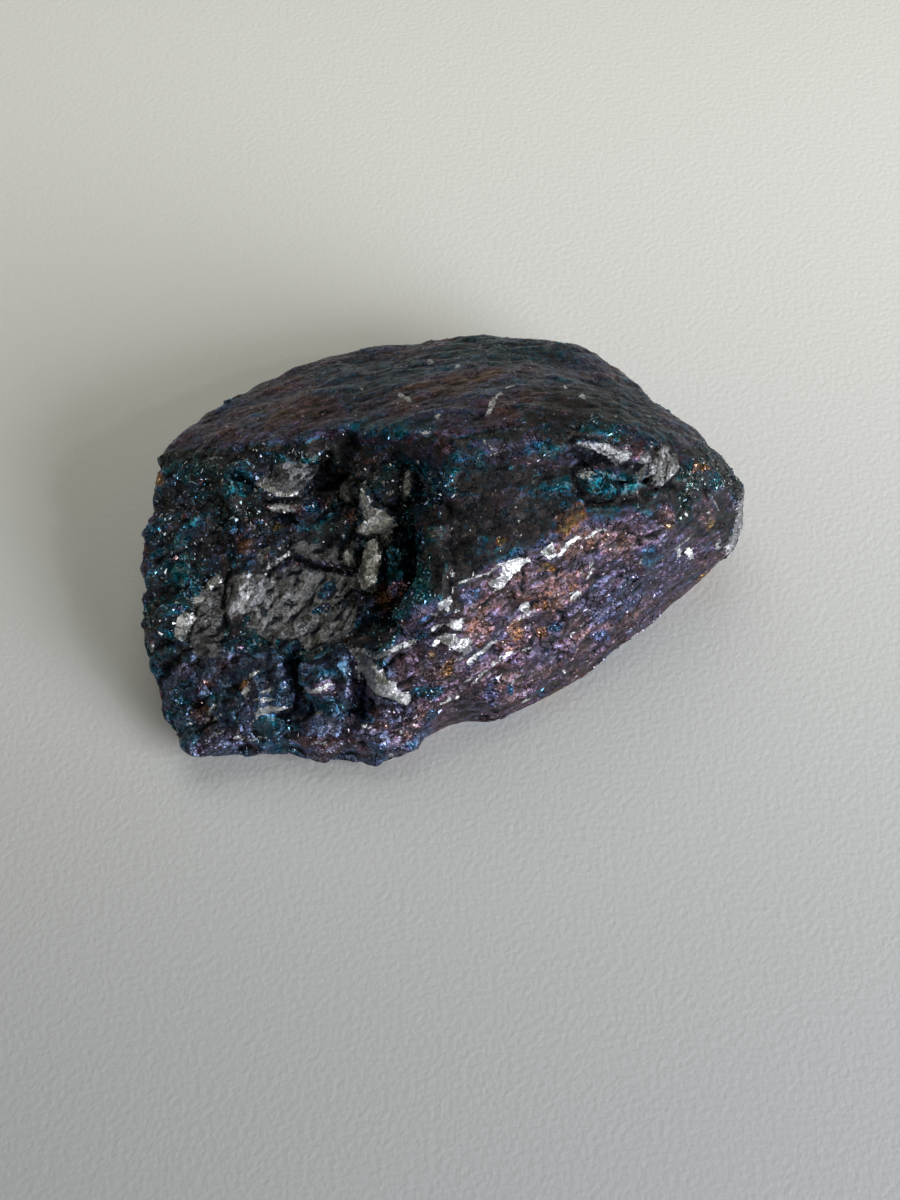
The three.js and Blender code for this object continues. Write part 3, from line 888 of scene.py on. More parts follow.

# %% [markdown]
# On the stone the film also changes within a face, in zones from one to twenty millimetres across
# that each have one colour. Noise alone would put them anywhere, so they are listed one by one: each
# is an ellipse on the photograph with a ragged border, and a later one covers an earlier one where they
# meet. The spots that broke clean get one even colour, and the crest is worn dull.

# %% Place the zones of the back slope, the plateau and the right end
ZONES = [
    # column, row, half width, half height, turn, colour, crust, crystal
    (245, 437, 62, 17, 10, "purple", 0.48, 0.15),
    (222, 432, 18, 9, 10, "rose", 0.42, 0.15),
    (300, 412, 40, 16, 15, "copper", 0.58, 0.10),
    (272, 447, 40, 7, 5, "violet", 0.42, 0.20),
    (385, 432, 45, 12, -5, "teal", 0.55, 0.15),
    (365, 378, 55, 20, 8, "azure", 0.60, 0.10),
    (500, 352, 80, 14, 0, "teal", 0.62, 0.15),
    (448, 392, 20, 9, 0, "orange", 0.66, 0.10),
    (575, 418, 50, 25, 0, "slate", 0.95, 0.03),
    (560, 412, 22, 14, 0, "copper", 0.82, 0.03),
    (620, 400, 40, 20, -20, "azure", 0.70, 0.15),
    (600, 437, 30, 11, -10, "teal", 0.66, 0.60),
    (655, 440, 25, 18, -30, "teal", 0.70, 0.25),
    (613, 480, 34, 18, 12, "teal", 0.56, 0.03),
    (640, 506, 22, 8, 0, "slate", 0.90, 0.15),
    (706, 468, 46, 26, 32, "teal", 0.78, 0.55),
    # Partly painted shade: this crust over 1 also darkens the right end, where less light falls.
    (706, 510, 46, 32, 0, "slate", 1.10, 0.12),
    (681, 508, 9, 18, 0, "slate", 0.45, 0.85),
    (684, 478, 10, 12, 0, "slate", 0.45, 0.90),
    (716, 483, 14, 8, 20, "teal", 0.55, 0.95),
    (736, 490, 7, 18, 0, "slate", 0.50, 0.90),
    (697, 472, 11, 5, 0, "gold", 0.55, 0.60),
    (663, 517, 9, 15, 0, "copper", 0.62, 0.20),
    (661, 507, 4, 5, 0, "magenta", 0.30, 0.50),
    (665, 526, 6, 6, 0, "gold", 0.45, 0.50),
    (701, 515, 10, 18, 0, "copper", 0.66, 0.20),
    (706, 527, 6, 8, 0, "gold", 0.40, 0.50),
    (726, 500, 8, 13, 0, "rose", 0.62, 0.20),
    (713, 496, 6, 5, 0, "purple", 0.60, 0.20),
    (465, 465, 22, 14, 0, "teal", 0.55, 0.20),
    (530, 462, 28, 10, -8, "copper", 0.62, 0.10),
    (568, 523, 20, 11, 10, "gold", 0.66, 0.30),
    (500, 500, 24, 13, 0, "rose", 0.76, 0.10),
    (556, 492, 20, 18, 30, "teal", 0.50, 0.20),
    (548, 452, 14, 9, 0, "teal", 0.52, 0.15),
    (480, 520, 34, 14, -20, "copper", 0.92, 0.05),
]
print("zones:", len(ZONES))

# %% Place the zones of the steep front
ZONES += [
    (474, 632, 12, 21, 0, "copper", 0.10, 0.30),
    (513, 631, 8, 7, 0, "orange", 0.08, 0.45),
    (499, 646, 8, 7, 0, "orange", 0.10, 0.45),
    (446, 670, 6, 10, 0, "orange", 0.10, 0.45),
    (431, 660, 5, 5, 0, "gold", 0.25, 0.3),
    (541, 633, 7, 4, 0, "orange", 0.08, 0.9),
    (544, 570, 9, 5, 0, "gold", 0.35, 0.3),
    (470, 599, 15, 11, 0, "blue", 0.42, 0.25),
    (557, 630, 8, 8, 0, "blue", 0.12, 0.85),
    (566, 608, 5, 4, 0, "blue", 0.12, 0.7),
    (596, 636, 9, 6, 0, "blue", 0.15, 0.8),
    (622, 595, 8, 4, 0, "blue", 0.20, 0.7),
    (513, 557, 7, 5, 0, "blue", 0.20, 0.6),
    (480, 543, 6, 4, 0, "violet", 0.25, 0.5),
    (498, 543, 5, 4, 0, "gold", 0.40, 0.5),
    (489, 693, 8, 9, 0, "violet", 0.06, 0.85),
    (524, 685, 4, 5, 0, "magenta", 0.06, 0.85),
    (511, 660, 9, 5, 0, "purple", 0.20, 0.8),
    (508, 690, 4, 5, 0, "teal", 0.20, 0.7),
    (539, 694, 7, 4, 0, "azure", 0.10, 0.95),
    (420, 693, 16, 7, 10, "teal", 0.30, 0.55),
    (430, 716, 8, 6, 0, "azure", 0.15, 0.9),
    (640, 570, 62, 34, 28, "purple", 0.52, 0.25),
    (622, 545, 18, 16, 20, "copper", 0.50, 0.20),
    (648, 557, 9, 12, 0, "azure", 0.55, 0.15),
    (610, 605, 40, 14, 30, "violet", 0.38, 0.40),
    (560, 590, 34, 16, 28, "copper", 0.35, 0.30),
    (580, 548, 26, 10, 20, "copper", 0.42, 0.25),
    (684, 557, 14, 6, 30, "purple", 0.30, 0.30),
]
print("zones:", len(ZONES))

# %% Place the zones of the hollow, the left wall and the lower left
ZONES += [
    (176, 572, 24, 42, 10, "teal", 0.58, 0.40),
    (188, 588, 11, 12, 0, "azure", 0.12, 0.8),
    (163, 482, 6, 6, 0, "gold", 0.60, 0.9),
    (202, 483, 5, 4, 0, "orange", 0.20, 0.5),
    (196, 507, 5, 4, 0, "orange", 0.25, 0.5),
    (172, 533, 5, 4, 0, "copper", 0.10, 0.6),
    (190, 519, 4, 4, 0, "copper", 0.15, 0.6),
    (174, 563, 4, 4, 0, "copper", 0.15, 0.6),
    (178, 611, 6, 4, 0, "magenta", 0.05, 1.0),
    (240, 487, 12, 11, -30, "teal", 0.25, 0.05),
    (260, 524, 6, 4, 0, "azure", 0.0, 0.5),
    (278, 528, 4, 4, 0, "gold", 0.0, 1.0),
    (280, 535, 6, 3, 0, "azure", 0.05, 1.0),
    (251, 557, 6, 11, 0, "violet", 0.45, 0.5),
    (326, 470, 9, 16, 0, "slate", 1.0, 0.0),
    (341, 474, 5, 8, 0, "orange", 0.55, 0.1),
    (322, 502, 6, 10, 0, "copper", 0.65, 0.2),
    (358, 520, 4, 4, 0, "azure", 0.0, 0.9),
    (266, 669, 13, 13, 0, "blue", 0.35, 0.05),
    (325, 670, 11, 11, 0, "blue", 0.25, 0.05),
    (337, 708, 8, 8, 0, "azure", 0.05, 0.4),
    (288, 684, 10, 18, 0, "blue", 0.85, 0.3),
    (355, 693, 9, 9, 0, "copper", 0.75, 0.1),
    (168, 658, 16, 10, 0, "green", 0.70, 0.05),
    (210, 686, 10, 4, 0, "copper", 0.25, 0.8),
    (246, 686, 6, 4, 0, "gold", 0.20, 0.6),
    (228, 597, 6, 45, 8, "copper", 0.95, 0.05),
    (226, 697, 11, 20, 0, "azure", 0.55, 0.20),
    (184, 698, 7, 4, 0, "copper", 0.45, 0.3),
    (184, 707, 6, 4, 0, "azure", 0.05, 1.0),
    # Partly painted light: the deep crevice keeps little crust, so it reads paler than its shade leaves it.
    (412, 560, 22, 60, 0, "teal", 0.15, 0.60),
    (447, 575, 13, 42, 0, "slate", 0.98, 0.10),
    (390, 601, 18, 11, 0, "orange", 0.0, 0.6),
    (408, 597, 9, 9, 0, "copper", 0.40, 0.3),
    (394, 620, 7, 7, 0, "teal", 0.30, 0.7),
    (428, 486, 24, 15, 0, "blue", 0.25, 1.0),
    (410, 470, 22, 9, 0, "azure", 0.35, 0.6),
    (325, 591, 7, 8, 0, "azure", 0.25, 0.4),
    (314, 612, 9, 6, 0, "azure", 0.10, 0.7),
    (290, 650, 10, 5, 0, "blue", 0.15, 0.5),
    (358, 600, 5, 4, 0, "violet", 0.05, 0.6),
    (203, 715, 8, 20, 20, "copper", 0.28, 0.35),
    (267, 729, 20, 9, 8, "teal", 0.22, 0.35),
    (285, 713, 5, 4, 0, "blue", 0.15, 0.4),
    (320, 729, 20, 7, 0, "purple", 0.28, 0.35),
    (357, 735, 15, 5, 0, "purple", 0.15, 0.30),
    (392, 749, 8, 4, 0, "violet", 0.10, 0.35),
    (377, 751, 6, 4, 0, "teal", 0.20, 0.35),
    (408, 736, 8, 4, 0, "copper", 0.35, 0.30),
    (334, 697, 6, 5, 0, "rose", 0.20, 0.6),
    (368, 720, 6, 5, 0, "azure", 0.10, 0.6),
    (244, 646, 20, 9, 0, "azure", 0.22, 0.7),
    (236, 648, 5, 3, 0, "magenta", 0.10, 0.8),
    (294, 661, 14, 4, 0, "azure", 0.10, 0.9),
    (185, 695, 17, 15, 0, "azure", 0.35, 0.65),
]
print("zones:", len(ZONES))

# %% Paint the tarnish zones
ZONE_STRENGTH = 0.80
SPOT_SOFTNESS = 0.25
SPOT_WANDER = 0.25
WIDE_SPOT = 16
SPOT_JAGS = 0.30
SPOT_SPECKLES = 0.45
CLEAN_JAG = 2
CLEAN_EDGE = (-0.5, 1.5)
CREST_WEAR = [
    (165, 458), (240, 455), (315, 450), (400, 452), (470, 438), (530, 432), (600, 442), (700, 462),
    (741, 488),
]
CREST_HALF_WIDTH = 6
CREST_SPECKLES = 4
CREST_JAGS = 3
CREST_DULL = 0.35
CREST_CRUST = 0.80

speckled = broken_at(points, 1.1, 91, octaves=2)


def spot_weight(middle_column, middle_row, half_width, half_height, turn):
    """1 inside an ellipse on the photograph, 0 outside it, with a ragged border."""
    angle = math.radians(-turn)
    ragged = WANDER * min(1.0, SPOT_WANDER + min(half_width, half_height) / WIDE_SPOT)
    across = column + ragged * wander - middle_column
    down = row + ragged * wander_across - middle_row
    along = across * math.cos(angle) + down * math.sin(angle)
    aside = down * math.cos(angle) - across * math.sin(angle)
    reach = np.hypot(along / half_width, aside / half_height) + SPOT_JAGS * jagged + SPOT_SPECKLES * speckled
    return smoothstep(1 + SPOT_SOFTNESS, 1 - SPOT_SOFTNESS, reach) * seen


def towards(field, weight, value):
    """The field, drawn towards a value by a weight from 0 to 1."""
    return field + (value - field) * weight


for *ellipse, colour, zone_crust, zone_crystal in ZONES:
    weight = ZONE_STRENGTH * spot_weight(*ellipse)
    film = towards(film, weight, FILM[colour])
    crust = towards(crust, weight, zone_crust)
    crystal = towards(crystal, weight, zone_crystal)
for colour, spot_crust, outline in SMOOTH_SPOTS:
    depth = depth_inside(outline, column + CLEAN_JAG * jagged, row + CLEAN_JAG * jagged_across)
    clean = smoothstep(*CLEAN_EDGE, depth) * seen
    film = np.where(clean > 0.5, FILM[colour], film)
    crust = towards(crust, clean, spot_crust)
    crystal = towards(crystal, clean, 0.0)
away = distance_to_path(CREST_WEAR, ragged_column, ragged_row)
away = away + CREST_SPECKLES * speckled + CREST_JAGS * jagged
worn = smoothstep(CREST_HALF_WIDTH, 1, away) * seen
film = np.where(worn > CREST_DULL, FILM["slate"], film)
crust = towards(crust, worn, CREST_CRUST)
print("zones painted:", len(ZONES), "and the crest is worn at", int((worn > 0.5).sum()), "points")

# %% Paint the bare metal
FILMED_SPLITS = [
    # column, row, half width, half height and turn of a split in the bare floor that kept its film
    (318, 612, 11, 5, 15),
    (326, 594, 8, 9, 20),
    (289, 606, 3, 7, 10),
    (348, 598, 3, 11, -40),
    (238, 622, 7, 6, 0),
    (262, 612, 3, 6, 10),
    (285, 645, 12, 5, 10),
    (258, 650, 12, 8, 0),
]
BARE_JAG = 2.0
SPLIT_DEPTH = -8.0
DULL_SHINE = 0.6
DULL_DEPTH = 4
BARELY_SEEN = 0.12
HIGH_GRAIN = 1.02
GRAIN_GAIN = 22
SHARP_EDGE = 0.06
EDGE_GAIN = 16

fine_column = column + BARE_JAG * broken_at(points, 1.3, 75)
fine_row = row + BARE_JAG * broken_at(points, 1.3, 77)
bare, shine = bare_depth(fine_column, fine_row)
for split in FILMED_SPLITS:
    bare = towards(bare, spot_weight(*split), SPLIT_DEPTH)
bare = np.where(shine < DULL_SHINE, np.minimum(bare, DULL_DEPTH), bare)
bare = np.where(seen > BARELY_SEEN, bare, -PIXEL_REACH)
# Where the photograph doesn't show the stone, flecks are bare on high grains and sharp edges.
hidden_flecks = GRAIN_GAIN * (broken_at(scored, 2.6, 79) - HIGH_GRAIN)
hidden_flecks = hidden_flecks + EDGE_GAIN * (fine_height - SHARP_EDGE)
bare = np.where(seen < BARELY_SEEN, np.clip(hidden_flecks, -PIXEL_REACH, DULL_DEPTH), bare)
print("bare metal on", round(100 * (bare > 0).mean(), 1), "% of the points")


# %% Keep what was painted with the mesh
def keep(piece, name, values):
    """Stores a number or a vector for each point of a piece, where its material can read it."""
    if values.ndim == 1:
        attribute = piece.data.attributes.new(name, "FLOAT", "POINT")
        attribute.data.foreach_set("value", values.astype(np.float32))
    else:
        attribute = piece.data.attributes.new(name, "FLOAT_VECTOR", "POINT")
        attribute.data.foreach_set("vector", values.astype(np.float32).ravel())
    print(piece.name, name, "from", round(float(values.min()), 2), "to", round(float(values.max()), 2))


FINE_EDGE = 0.3
BROAD_EDGE = 4.0
FRONT_LESS_CRUST_AND_SHADE = 0.10
FRONT_DUST = 0.30

keep(lump, "film", np.clip(film, 0, 1))
keep(lump, "crust", np.clip(crust, -0.5, 1))
keep(lump, "crystal", np.clip(crystal, 0, 1))
keep(lump, "bare", np.clip(bare, -PIXEL_REACH, PIXEL_REACH))
keep(lump, "shine", shine)
# At the lower left this is partly painted light, a paler tone for a face the lamps leave dim.
keep(lump, "dust", np.clip(lower_left * (0.8 + 0.6 * dark_patches) + FRONT_DUST * front, 0, 1))
# Below 0.5 a point lies in a hollow, which gets crust and painted shade; the front gets less of both.
wear_and_shade = 0.5 + fine_height / FINE_EDGE + broad_height / BROAD_EDGE + FRONT_LESS_CRUST_AND_SHADE * front
keep(lump, "edge", np.clip(wear_and_shade, 0, 1))
streaked = np.clip(1 - front - floor_of_hollow, 0, 1)
flow = front[:, None] * scored + floor_of_hollow[:, None] * ribbed + streaked[:, None] * swept
keep(lump, "flow", flow)

# %% [markdown]
# Shader maths reads best as arithmetic. A wire is one output of a node. Its operators add the Math
# nodes that they stand for, and its node method adds any other node to the same material.

# %% A wire that does shader arithmetic
HALF = (0.5, 0.5, 0.5)


class Wire:
    """One output of a node, with arithmetic on it."""

    def __init__(self, tree, socket=None):
        self.tree = tree
        self.socket = socket

    def node(self, kind, settings, sockets, output=0):
        """Adds a node: its settings first, then the values or wires of its sockets."""
        made = self.tree.nodes.new(kind)
        for name, value in settings.items():
            if name == "stops":
                ramp = made.color_ramp
                for _ in value[2:]:
                    ramp.elements.new(0.5)
                for element, (place, colour) in zip(ramp.elements, value):
                    element.position = place
                    element.color = (*colour, 1)
            else:
                setattr(made, name, value)
        for name, value in sockets.items():
            if isinstance(value, Wire):
                value.into(made.inputs[name])
            else:
                made.inputs[name].default_value = value
        return Wire(self.tree, made.outputs[output])

    def into(self, socket):
        """Links this wire to the socket of another node."""
        self.tree.links.new(self.socket, socket)

    def maths(self, operation, first, second=0.0):
        return self.node("ShaderNodeMath", {"operation": operation}, {0: first, 1: second})

    def __add__(self, other):
        return self.maths("ADD", self, other)

    def __radd__(self, other):
        return self.maths("ADD", other, self)

    def __sub__(self, other):
        return self.maths("SUBTRACT", self, other)

    def __rsub__(self, other):
        return self.maths("SUBTRACT", other, self)

    def __mul__(self, other):
        return self.maths("MULTIPLY", self, other)

    def __rmul__(self, other):
        return self.maths("MULTIPLY", other, self)

    def __abs__(self):
        return self.maths("ABSOLUTE", self)

    def step(self, low, high):
        """0 at low, 1 at high, with a smooth change between them."""
        return self.node("ShaderNodeMapRange", {"interpolation_type": "SMOOTHSTEP"},
                         {"Value": self, "From Min": low, "From Max": high})

    def blend(self, first, second):
        """A colour: the first where this wire is 0, the second where it is 1."""
        return self.node("ShaderNodeMix", {"data_type": "RGBA"}, {0: self, 6: first, 7: second}, 2)

    def part(self, axis):
        """One part of this colour or vector, as a number."""
        return self.node("ShaderNodeSeparateXYZ", {}, {0: self}, axis)

    def scaled(self, amount):
        """This colour or vector, times a number."""
        return self.node("ShaderNodeVectorMath", {"operation": "SCALE"}, {0: self, "Scale": amount})

    def plus(self, other):
        """This colour or vector, with another added."""
        return self.node("ShaderNodeVectorMath", {"operation": "ADD"}, {0: self, 1: other})

    def centred(self):
        """This random colour as a vector that points to any side."""
        return self.node("ShaderNodeVectorMath", {"operation": "SUBTRACT"}, {0: self, 1: HALF})


print("wire ready")


# %% Start an empty material
def new_material(name):
    """A material with nothing in it, a Wire to start from, its output, and places in millimetres."""
    material = bpy.data.materials.new(name)
    material.use_nodes = True
    material.node_tree.nodes.clear()
    surface = material.node_tree.nodes.new("ShaderNodeOutputMaterial").inputs["Surface"]
    start = Wire(material.node_tree)
    return material, start, surface, start.node("ShaderNodeTexCoord", {}, {}, "Object").scaled(1 / MM)


print("materials so far:", len(bpy.data.materials))

# %% [markdown]
# The ore is a metal under a film. One colour with a bump over it would look like painted clay, so the
# skin is made of facets about a millimetre across and of grains of a third of a millimetre, and each
# has its own film thickness, its own brightness and its own tilt. The tilted grains are what
# glitters. All patterns read Object coordinates in millimetres.

# %% Start the ore's material
FACET = 1.15
GRAIN = 0.30
FACET_WARP = 0.55

ore, ore_start, ore_surface, place = new_material("tarnished_ore")


def painted(name, output="Fac"):
    """What was stored on the points under this name."""
    return ore_start.node("ShaderNodeAttribute", {"attribute_name": name}, {}, output)


def ore_noise(size, detail=2.0, roughness=0.5, vector=place, output="Fac"):
    """Noise from 0 to 1 with lumps of that size in millimetres."""
    sockets = {"Vector": vector, "Scale": 1 / size, "Detail": detail, "Roughness": roughness}
    return ore_start.node("ShaderNodeTexNoise", {}, sockets, output)


def ore_cells(size, vector, feature="F1", output="Color"):
    """Random grains of that size in millimetres."""
    sockets = {"Vector": vector, "Scale": 1 / size}
    return ore_start.node("ShaderNodeTexVoronoi", {"feature": feature}, sockets, output)


rough_place = place.plus(ore_noise(0.8, 3, output="Color").centred().scaled(FACET_WARP))
facet_colour = ore_cells(FACET, rough_place)
grain_colour = ore_cells(GRAIN, rough_place)
facet_random = facet_colour.part("X")
grain_random = grain_colour.part("Y")
crust_painted = painted("crust")
crystal_wire = painted("crystal")
grown = painted("grown")
edge = painted("edge")
flow_place = painted("flow", "Vector")
streaks = ore_noise(0.42, 5, 0.65, flow_place)
mottle = ore_noise(0.5, 5, 0.7)
print("ore nodes so far:", len(ore.node_tree.nodes))

# %% Mix the colours of the tarnish
TARNISH_STOPS = [
    # film thickness, colour
    (0.00, (0.420, 0.341, 0.183)),
    (0.07, (0.440, 0.305, 0.080)),
    (0.20, (0.451, 0.200, 0.055)),
    (0.29, (0.380, 0.169, 0.116)),
    (0.37, (0.315, 0.170, 0.197)),
    (0.45, (0.255, 0.150, 0.255)),
    (0.52, (0.204, 0.152, 0.297)),
    (0.60, (0.141, 0.154, 0.339)),
    (0.69, (0.056, 0.149, 0.334)),
    (0.77, (0.012, 0.184, 0.350)),
    (0.85, (0.012, 0.170, 0.240)),
    (0.93, (0.028, 0.130, 0.140)),
    (1.00, (0.080, 0.080, 0.074)),
]
GREY_BLOOM = (0.128, 0.135, 0.164, 1)
DUST_AND_LIGHT_GREY = (0.185, 0.225, 0.330, 1)
FILM_GLOSS = 0.60
BLOOM = 0.46
DUST_AND_LIGHT_STRENGTH = 0.48
FILM_OF_FACET = 0.14
FILM_OF_GRAIN = 0.03
FILM_OF_PATCH = 0.26
FILM_OF_FLECK = 0.08

film_here = painted("film") + FILM_OF_FACET * (facet_random - 0.5) + FILM_OF_GRAIN * (grain_random - 0.5)
film_here = film_here + FILM_OF_PATCH * (ore_noise(3.0, 3) - 0.5) + FILM_OF_FLECK * (ore_noise(0.9, 3) - 0.5)
tarnish = ore_start.node("ShaderNodeValToRGB", {"stops": TARNISH_STOPS}, {"Fac": film_here}, "Color")
# Each grain and each facet has its own brightness, and grains differ most where crystals stand.
sparkle = (0.20 + 0.75 * crystal_wire) * grain_random * grain_random
brightness = (0.74 + sparkle) * (0.60 + 0.8 * facet_random)
brightness = brightness * (0.50 + 0.85 * mottle.step(0.38, 0.60)) * (0.88 + 0.22 * streaks.step(0.38, 0.62))
# Grey bloom lies on the film in specks, and blue-grey dust on the front and the lower left. On the
# lower left the dust is also painted light, a paler tone for a face the lamps leave dim.
bloom = BLOOM * ore_noise(1.1, 4, 0.6).step(0.44, 0.62) * (1 - crystal_wire.step(0.3, 0.7))
dust_and_painted_light = DUST_AND_LIGHT_STRENGTH * painted("dust") * ore_noise(0.9, 4, 0.6).step(0.36, 0.58)
lit_tarnish = bloom.blend(tarnish.scaled(FILM_GLOSS), GREY_BLOOM)
lit_tarnish = dust_and_painted_light.blend(lit_tarnish, DUST_AND_LIGHT_GREY).scaled(brightness)
print("tarnish mixed from", len(TARNISH_STOPS), "colours")

# %% Lay the crust, the cracks and the scratches over it, with painted shade in cracks, pits and hollows
CRUST_BROWN = (0.030, 0.023, 0.026, 1)
# This black is the crust's own and also the painted shade in cracks, pits and creases.
CRUST_AND_SHADE_BLACK = (0.009, 0.012, 0.018, 1)
SCRATCH = (0.26, 0.23, 0.20, 1)
CRACK_SPACING = 1.9
CRACK_WARP = 2.4

crack_place = place.plus(ore_noise(1.5, 4, 0.6, output="Color").centred().scaled(CRACK_WARP))
crack_distance = ore_cells(CRACK_SPACING, crack_place, "DISTANCE_TO_EDGE", "Distance")
crack = crack_distance.step(0.08, 0.015) * ore_noise(2.6, 2).step(0.52, 0.60)
pits = ore_noise(0.45, 3, 0.6).step(0.57, 0.65)
# Crust fills the hollows and follows the streaks, and it wears off the edges. The same sum paints shade
# into the hollows.
crust_specks = ore_noise(0.8, 5, 0.65) - 0.5
crust_and_hollow_shade = crust_painted + 1.2 * crust_specks + 0.5 * (streaks - 0.5) + (0.5 - edge)
crust_and_hollow_shade = crust_and_hollow_shade.step(0.20, 0.85)
brown_here = ore_noise(1.6, 4, 0.6).step(0.40, 0.58) * (1 - crystal_wire.step(0.3, 0.6))
crust_tone = (0.7 + 0.6 * mottle.step(0.38, 0.62)) * (0.70 + 1.2 * crystal_wire)
crusted_and_shaded = crust_and_hollow_shade.blend(lit_tarnish, brown_here.blend(CRUST_AND_SHADE_BLACK, CRUST_BROWN).scaled(crust_tone))
# Painted shade: cracks, pits and deep creases are painted black, as shade falls in them.
painted_shade_here = (crack + 0.8 * pits * (1 - crystal_wire) + 0.9 * edge.step(0.42, 0.08)).step(0.0, 1.2)
with_painted_shade = painted_shade_here.blend(crusted_and_shaded, CRUST_AND_SHADE_BLACK)
scratch_line = abs(streaks - 0.5).step(0.018, 0.004)
scratches = scratch_line * ore_noise(1.4, 3).step(0.60, 0.68) * (1 - crystal_wire)
scratched = scratches.blend(with_painted_shade, SCRATCH)
print("crust laid:", len(ore.node_tree.nodes), "nodes so far")

# %% Bare the metal
POLISHED = (0.71, 0.73, 0.78, 1)
RAW_BREAK = (0.186, 0.192, 0.212, 1)
GROOVE_SHADE = (0.016, 0.018, 0.026, 1)
RAGGED_DULL_EDGE = 13
RAGGED_BRIGHT_EDGE = 6.5

shine_wire = painted("shine")
raggedness = ore_noise(0.42, 5, 0.6) - 0.5 + 0.8 * (1 - shine_wire) * (streaks - 0.5)
# Bright scuffs have a cleaner border than dull breaks. Both numbers are in pixels.
ragged_pixels = RAGGED_DULL_EDGE - (RAGGED_DULL_EDGE - RAGGED_BRIGHT_EDGE) * shine_wire
bare_here = (painted("bare") + ragged_pixels * raggedness).step(-0.3, 0.5)
bare_pores = ore_noise(0.28, 3, 0.6).step(0.58, 0.66)
fine_scratches = ore_noise(0.16, 3, 0.6, flow_place).step(0.36, 0.62)
bare_tone = shine_wire.step(0.25, 0.95).blend(RAW_BREAK, POLISHED)
bare_tone = bare_tone.scaled((0.55 + 0.60 * grain_colour.part("Z")) * (0.75 + 0.5 * fine_scratches))
bare_tone = (bare_pores * (1.3 - shine_wire)).blend(bare_tone, CRUST_AND_SHADE_BLACK)
# Painted shade: the grooves of dull breaks are painted nearly black.
groove_shade = (1.9 * (0.5 - edge) + 1.5 * (0.5 - streaks)).step(0.06, 0.75) * (1 - shine_wire.step(0.4, 0.8))
bare_tone = groove_shade.blend(bare_tone, GROOVE_SHADE)
colour = bare_here.blend(scratched, bare_tone)
print("colour mixed with", len(ore.node_tree.nodes), "nodes")

# %% Tilt the grains and roughen the skin
SKIN_BUMP = 0.20 * MM
SKIN_BUMP_STRENGTH = 0.60
CRACK_BUMP = 0.8

on_skin = (1 - 0.85 * grown) * (0.30 + 0.70 * crust_painted.step(-0.3, 0.0))
facet_steepness = (0.30 + 0.45 * crystal_wire + 0.34 * bare_here) * on_skin
grain_steepness = (0.34 + 0.66 * crystal_wire * (1 - bare_here)) * on_skin
face_direction = ore_start.node("ShaderNodeNewGeometry", {}, {}, "Normal")
tilted = face_direction.plus(facet_colour.centred().scaled(facet_steepness))
tilted = tilted.plus(grain_colour.centred().scaled(grain_steepness))
tilted = ore_start.node("ShaderNodeVectorMath", {"operation": "NORMALIZE"}, {0: tilted})
lumps = 0.8 * ore_noise(0.25, 4, 0.6) + 0.6 * ore_noise(0.9, 4, 0.6) * (1 - 0.6 * bare_here)
height = (lumps + 0.6 * streaks) * on_skin - CRACK_BUMP * crack
bumped = ore_start.node("ShaderNodeBump", {}, {
    "Strength": SKIN_BUMP_STRENGTH, "Distance": SKIN_BUMP, "Height": height, "Normal": tilted,
})

# Where shade is painted the skin stays fully metallic, so its black colour reflects nothing.
metallic = 1 - 0.60 * crust_and_hollow_shade * (1 - bare_here) * (1 - painted_shade_here)
roughness = 0.36 - 0.18 * crystal_wire + 0.20 * crust_and_hollow_shade * (1 - bare_here) + 0.10 * (mottle - 0.5)
roughness = roughness * (1 - 0.35 * grown) + bare_here * (0.26 - 0.18 * shine_wire)
ore_shader = ore_start.node("ShaderNodeBsdfPrincipled", {}, {
    "Base Color": colour,
    "Metallic": metallic,
    "Roughness": roughness,
    "Normal": bumped,
    "Coat Weight": 0.6 * grown,
    "Coat IOR": 1.9,
    "Coat Roughness": 0.10,
    "Specular IOR Level": 0.35,
})
ore_shader.into(ore_surface)
lump.data.materials.append(ore)
print("ore finished with", len(ore.node_tree.nodes), "nodes")

# %% [markdown]
# The ore's skin is set with small broken crystals, which give it its angular grain and catch the
# light as single points. Each is a flattened eight-sided crystal, turned at random about the
# direction of the skin and sunk a little past its middle. They crowd in the hollow and at the lower
# left, and are few on the worn back. Thousands of them are one mesh, made from arrays.

# %% Choose where the small crystals stand
CRYSTAL_COUNT = 22000
CLEAR_OF_BARE_METAL = 0.5
FEW = 0.08
FEWER_ON_THE_FRONT = 0.06

draw = np.random.default_rng(5)


def unit(vectors):
    """The vectors, each made one long."""
    return vectors / np.maximum(np.linalg.norm(vectors, axis=1), 1e-9)[:, None]


lump.data.calc_loop_triangles()
triangles = np.empty(len(lump.data.loop_triangles) * 3, int)
lump.data.loop_triangles.foreach_get("vertices", triangles)
triangles = triangles.reshape(-1, 3)
first, second, third = (points[triangles[:, corner]] for corner in range(3))
directions = np.cross(second - first, third - first)
areas = np.linalg.norm(directions, axis=1)
directions = unit(directions)
middles = (first + second + third) / 3
clusters = smoothstep(-0.5, 0.5, broken_at(middles, 2.6, 93))
sparse = FEW - FEWER_ON_THE_FRONT * front[triangles].mean(1)
wanted = (sparse + smoothstep(0.15, 0.75, crystal[triangles].mean(1)) * clusters) * areas
wanted *= (bare[triangles].max(1) < CLEAR_OF_BARE_METAL) & (middles[:, 2] > FULL_RELIEF)
chosen = draw.choice(len(triangles), CRYSTAL_COUNT, p=wanted / wanted.sum())
base = triangles[chosen, 0]
crystal_here = crystal[base]
print("crystals stand on", len(np.unique(chosen)), "triangles")

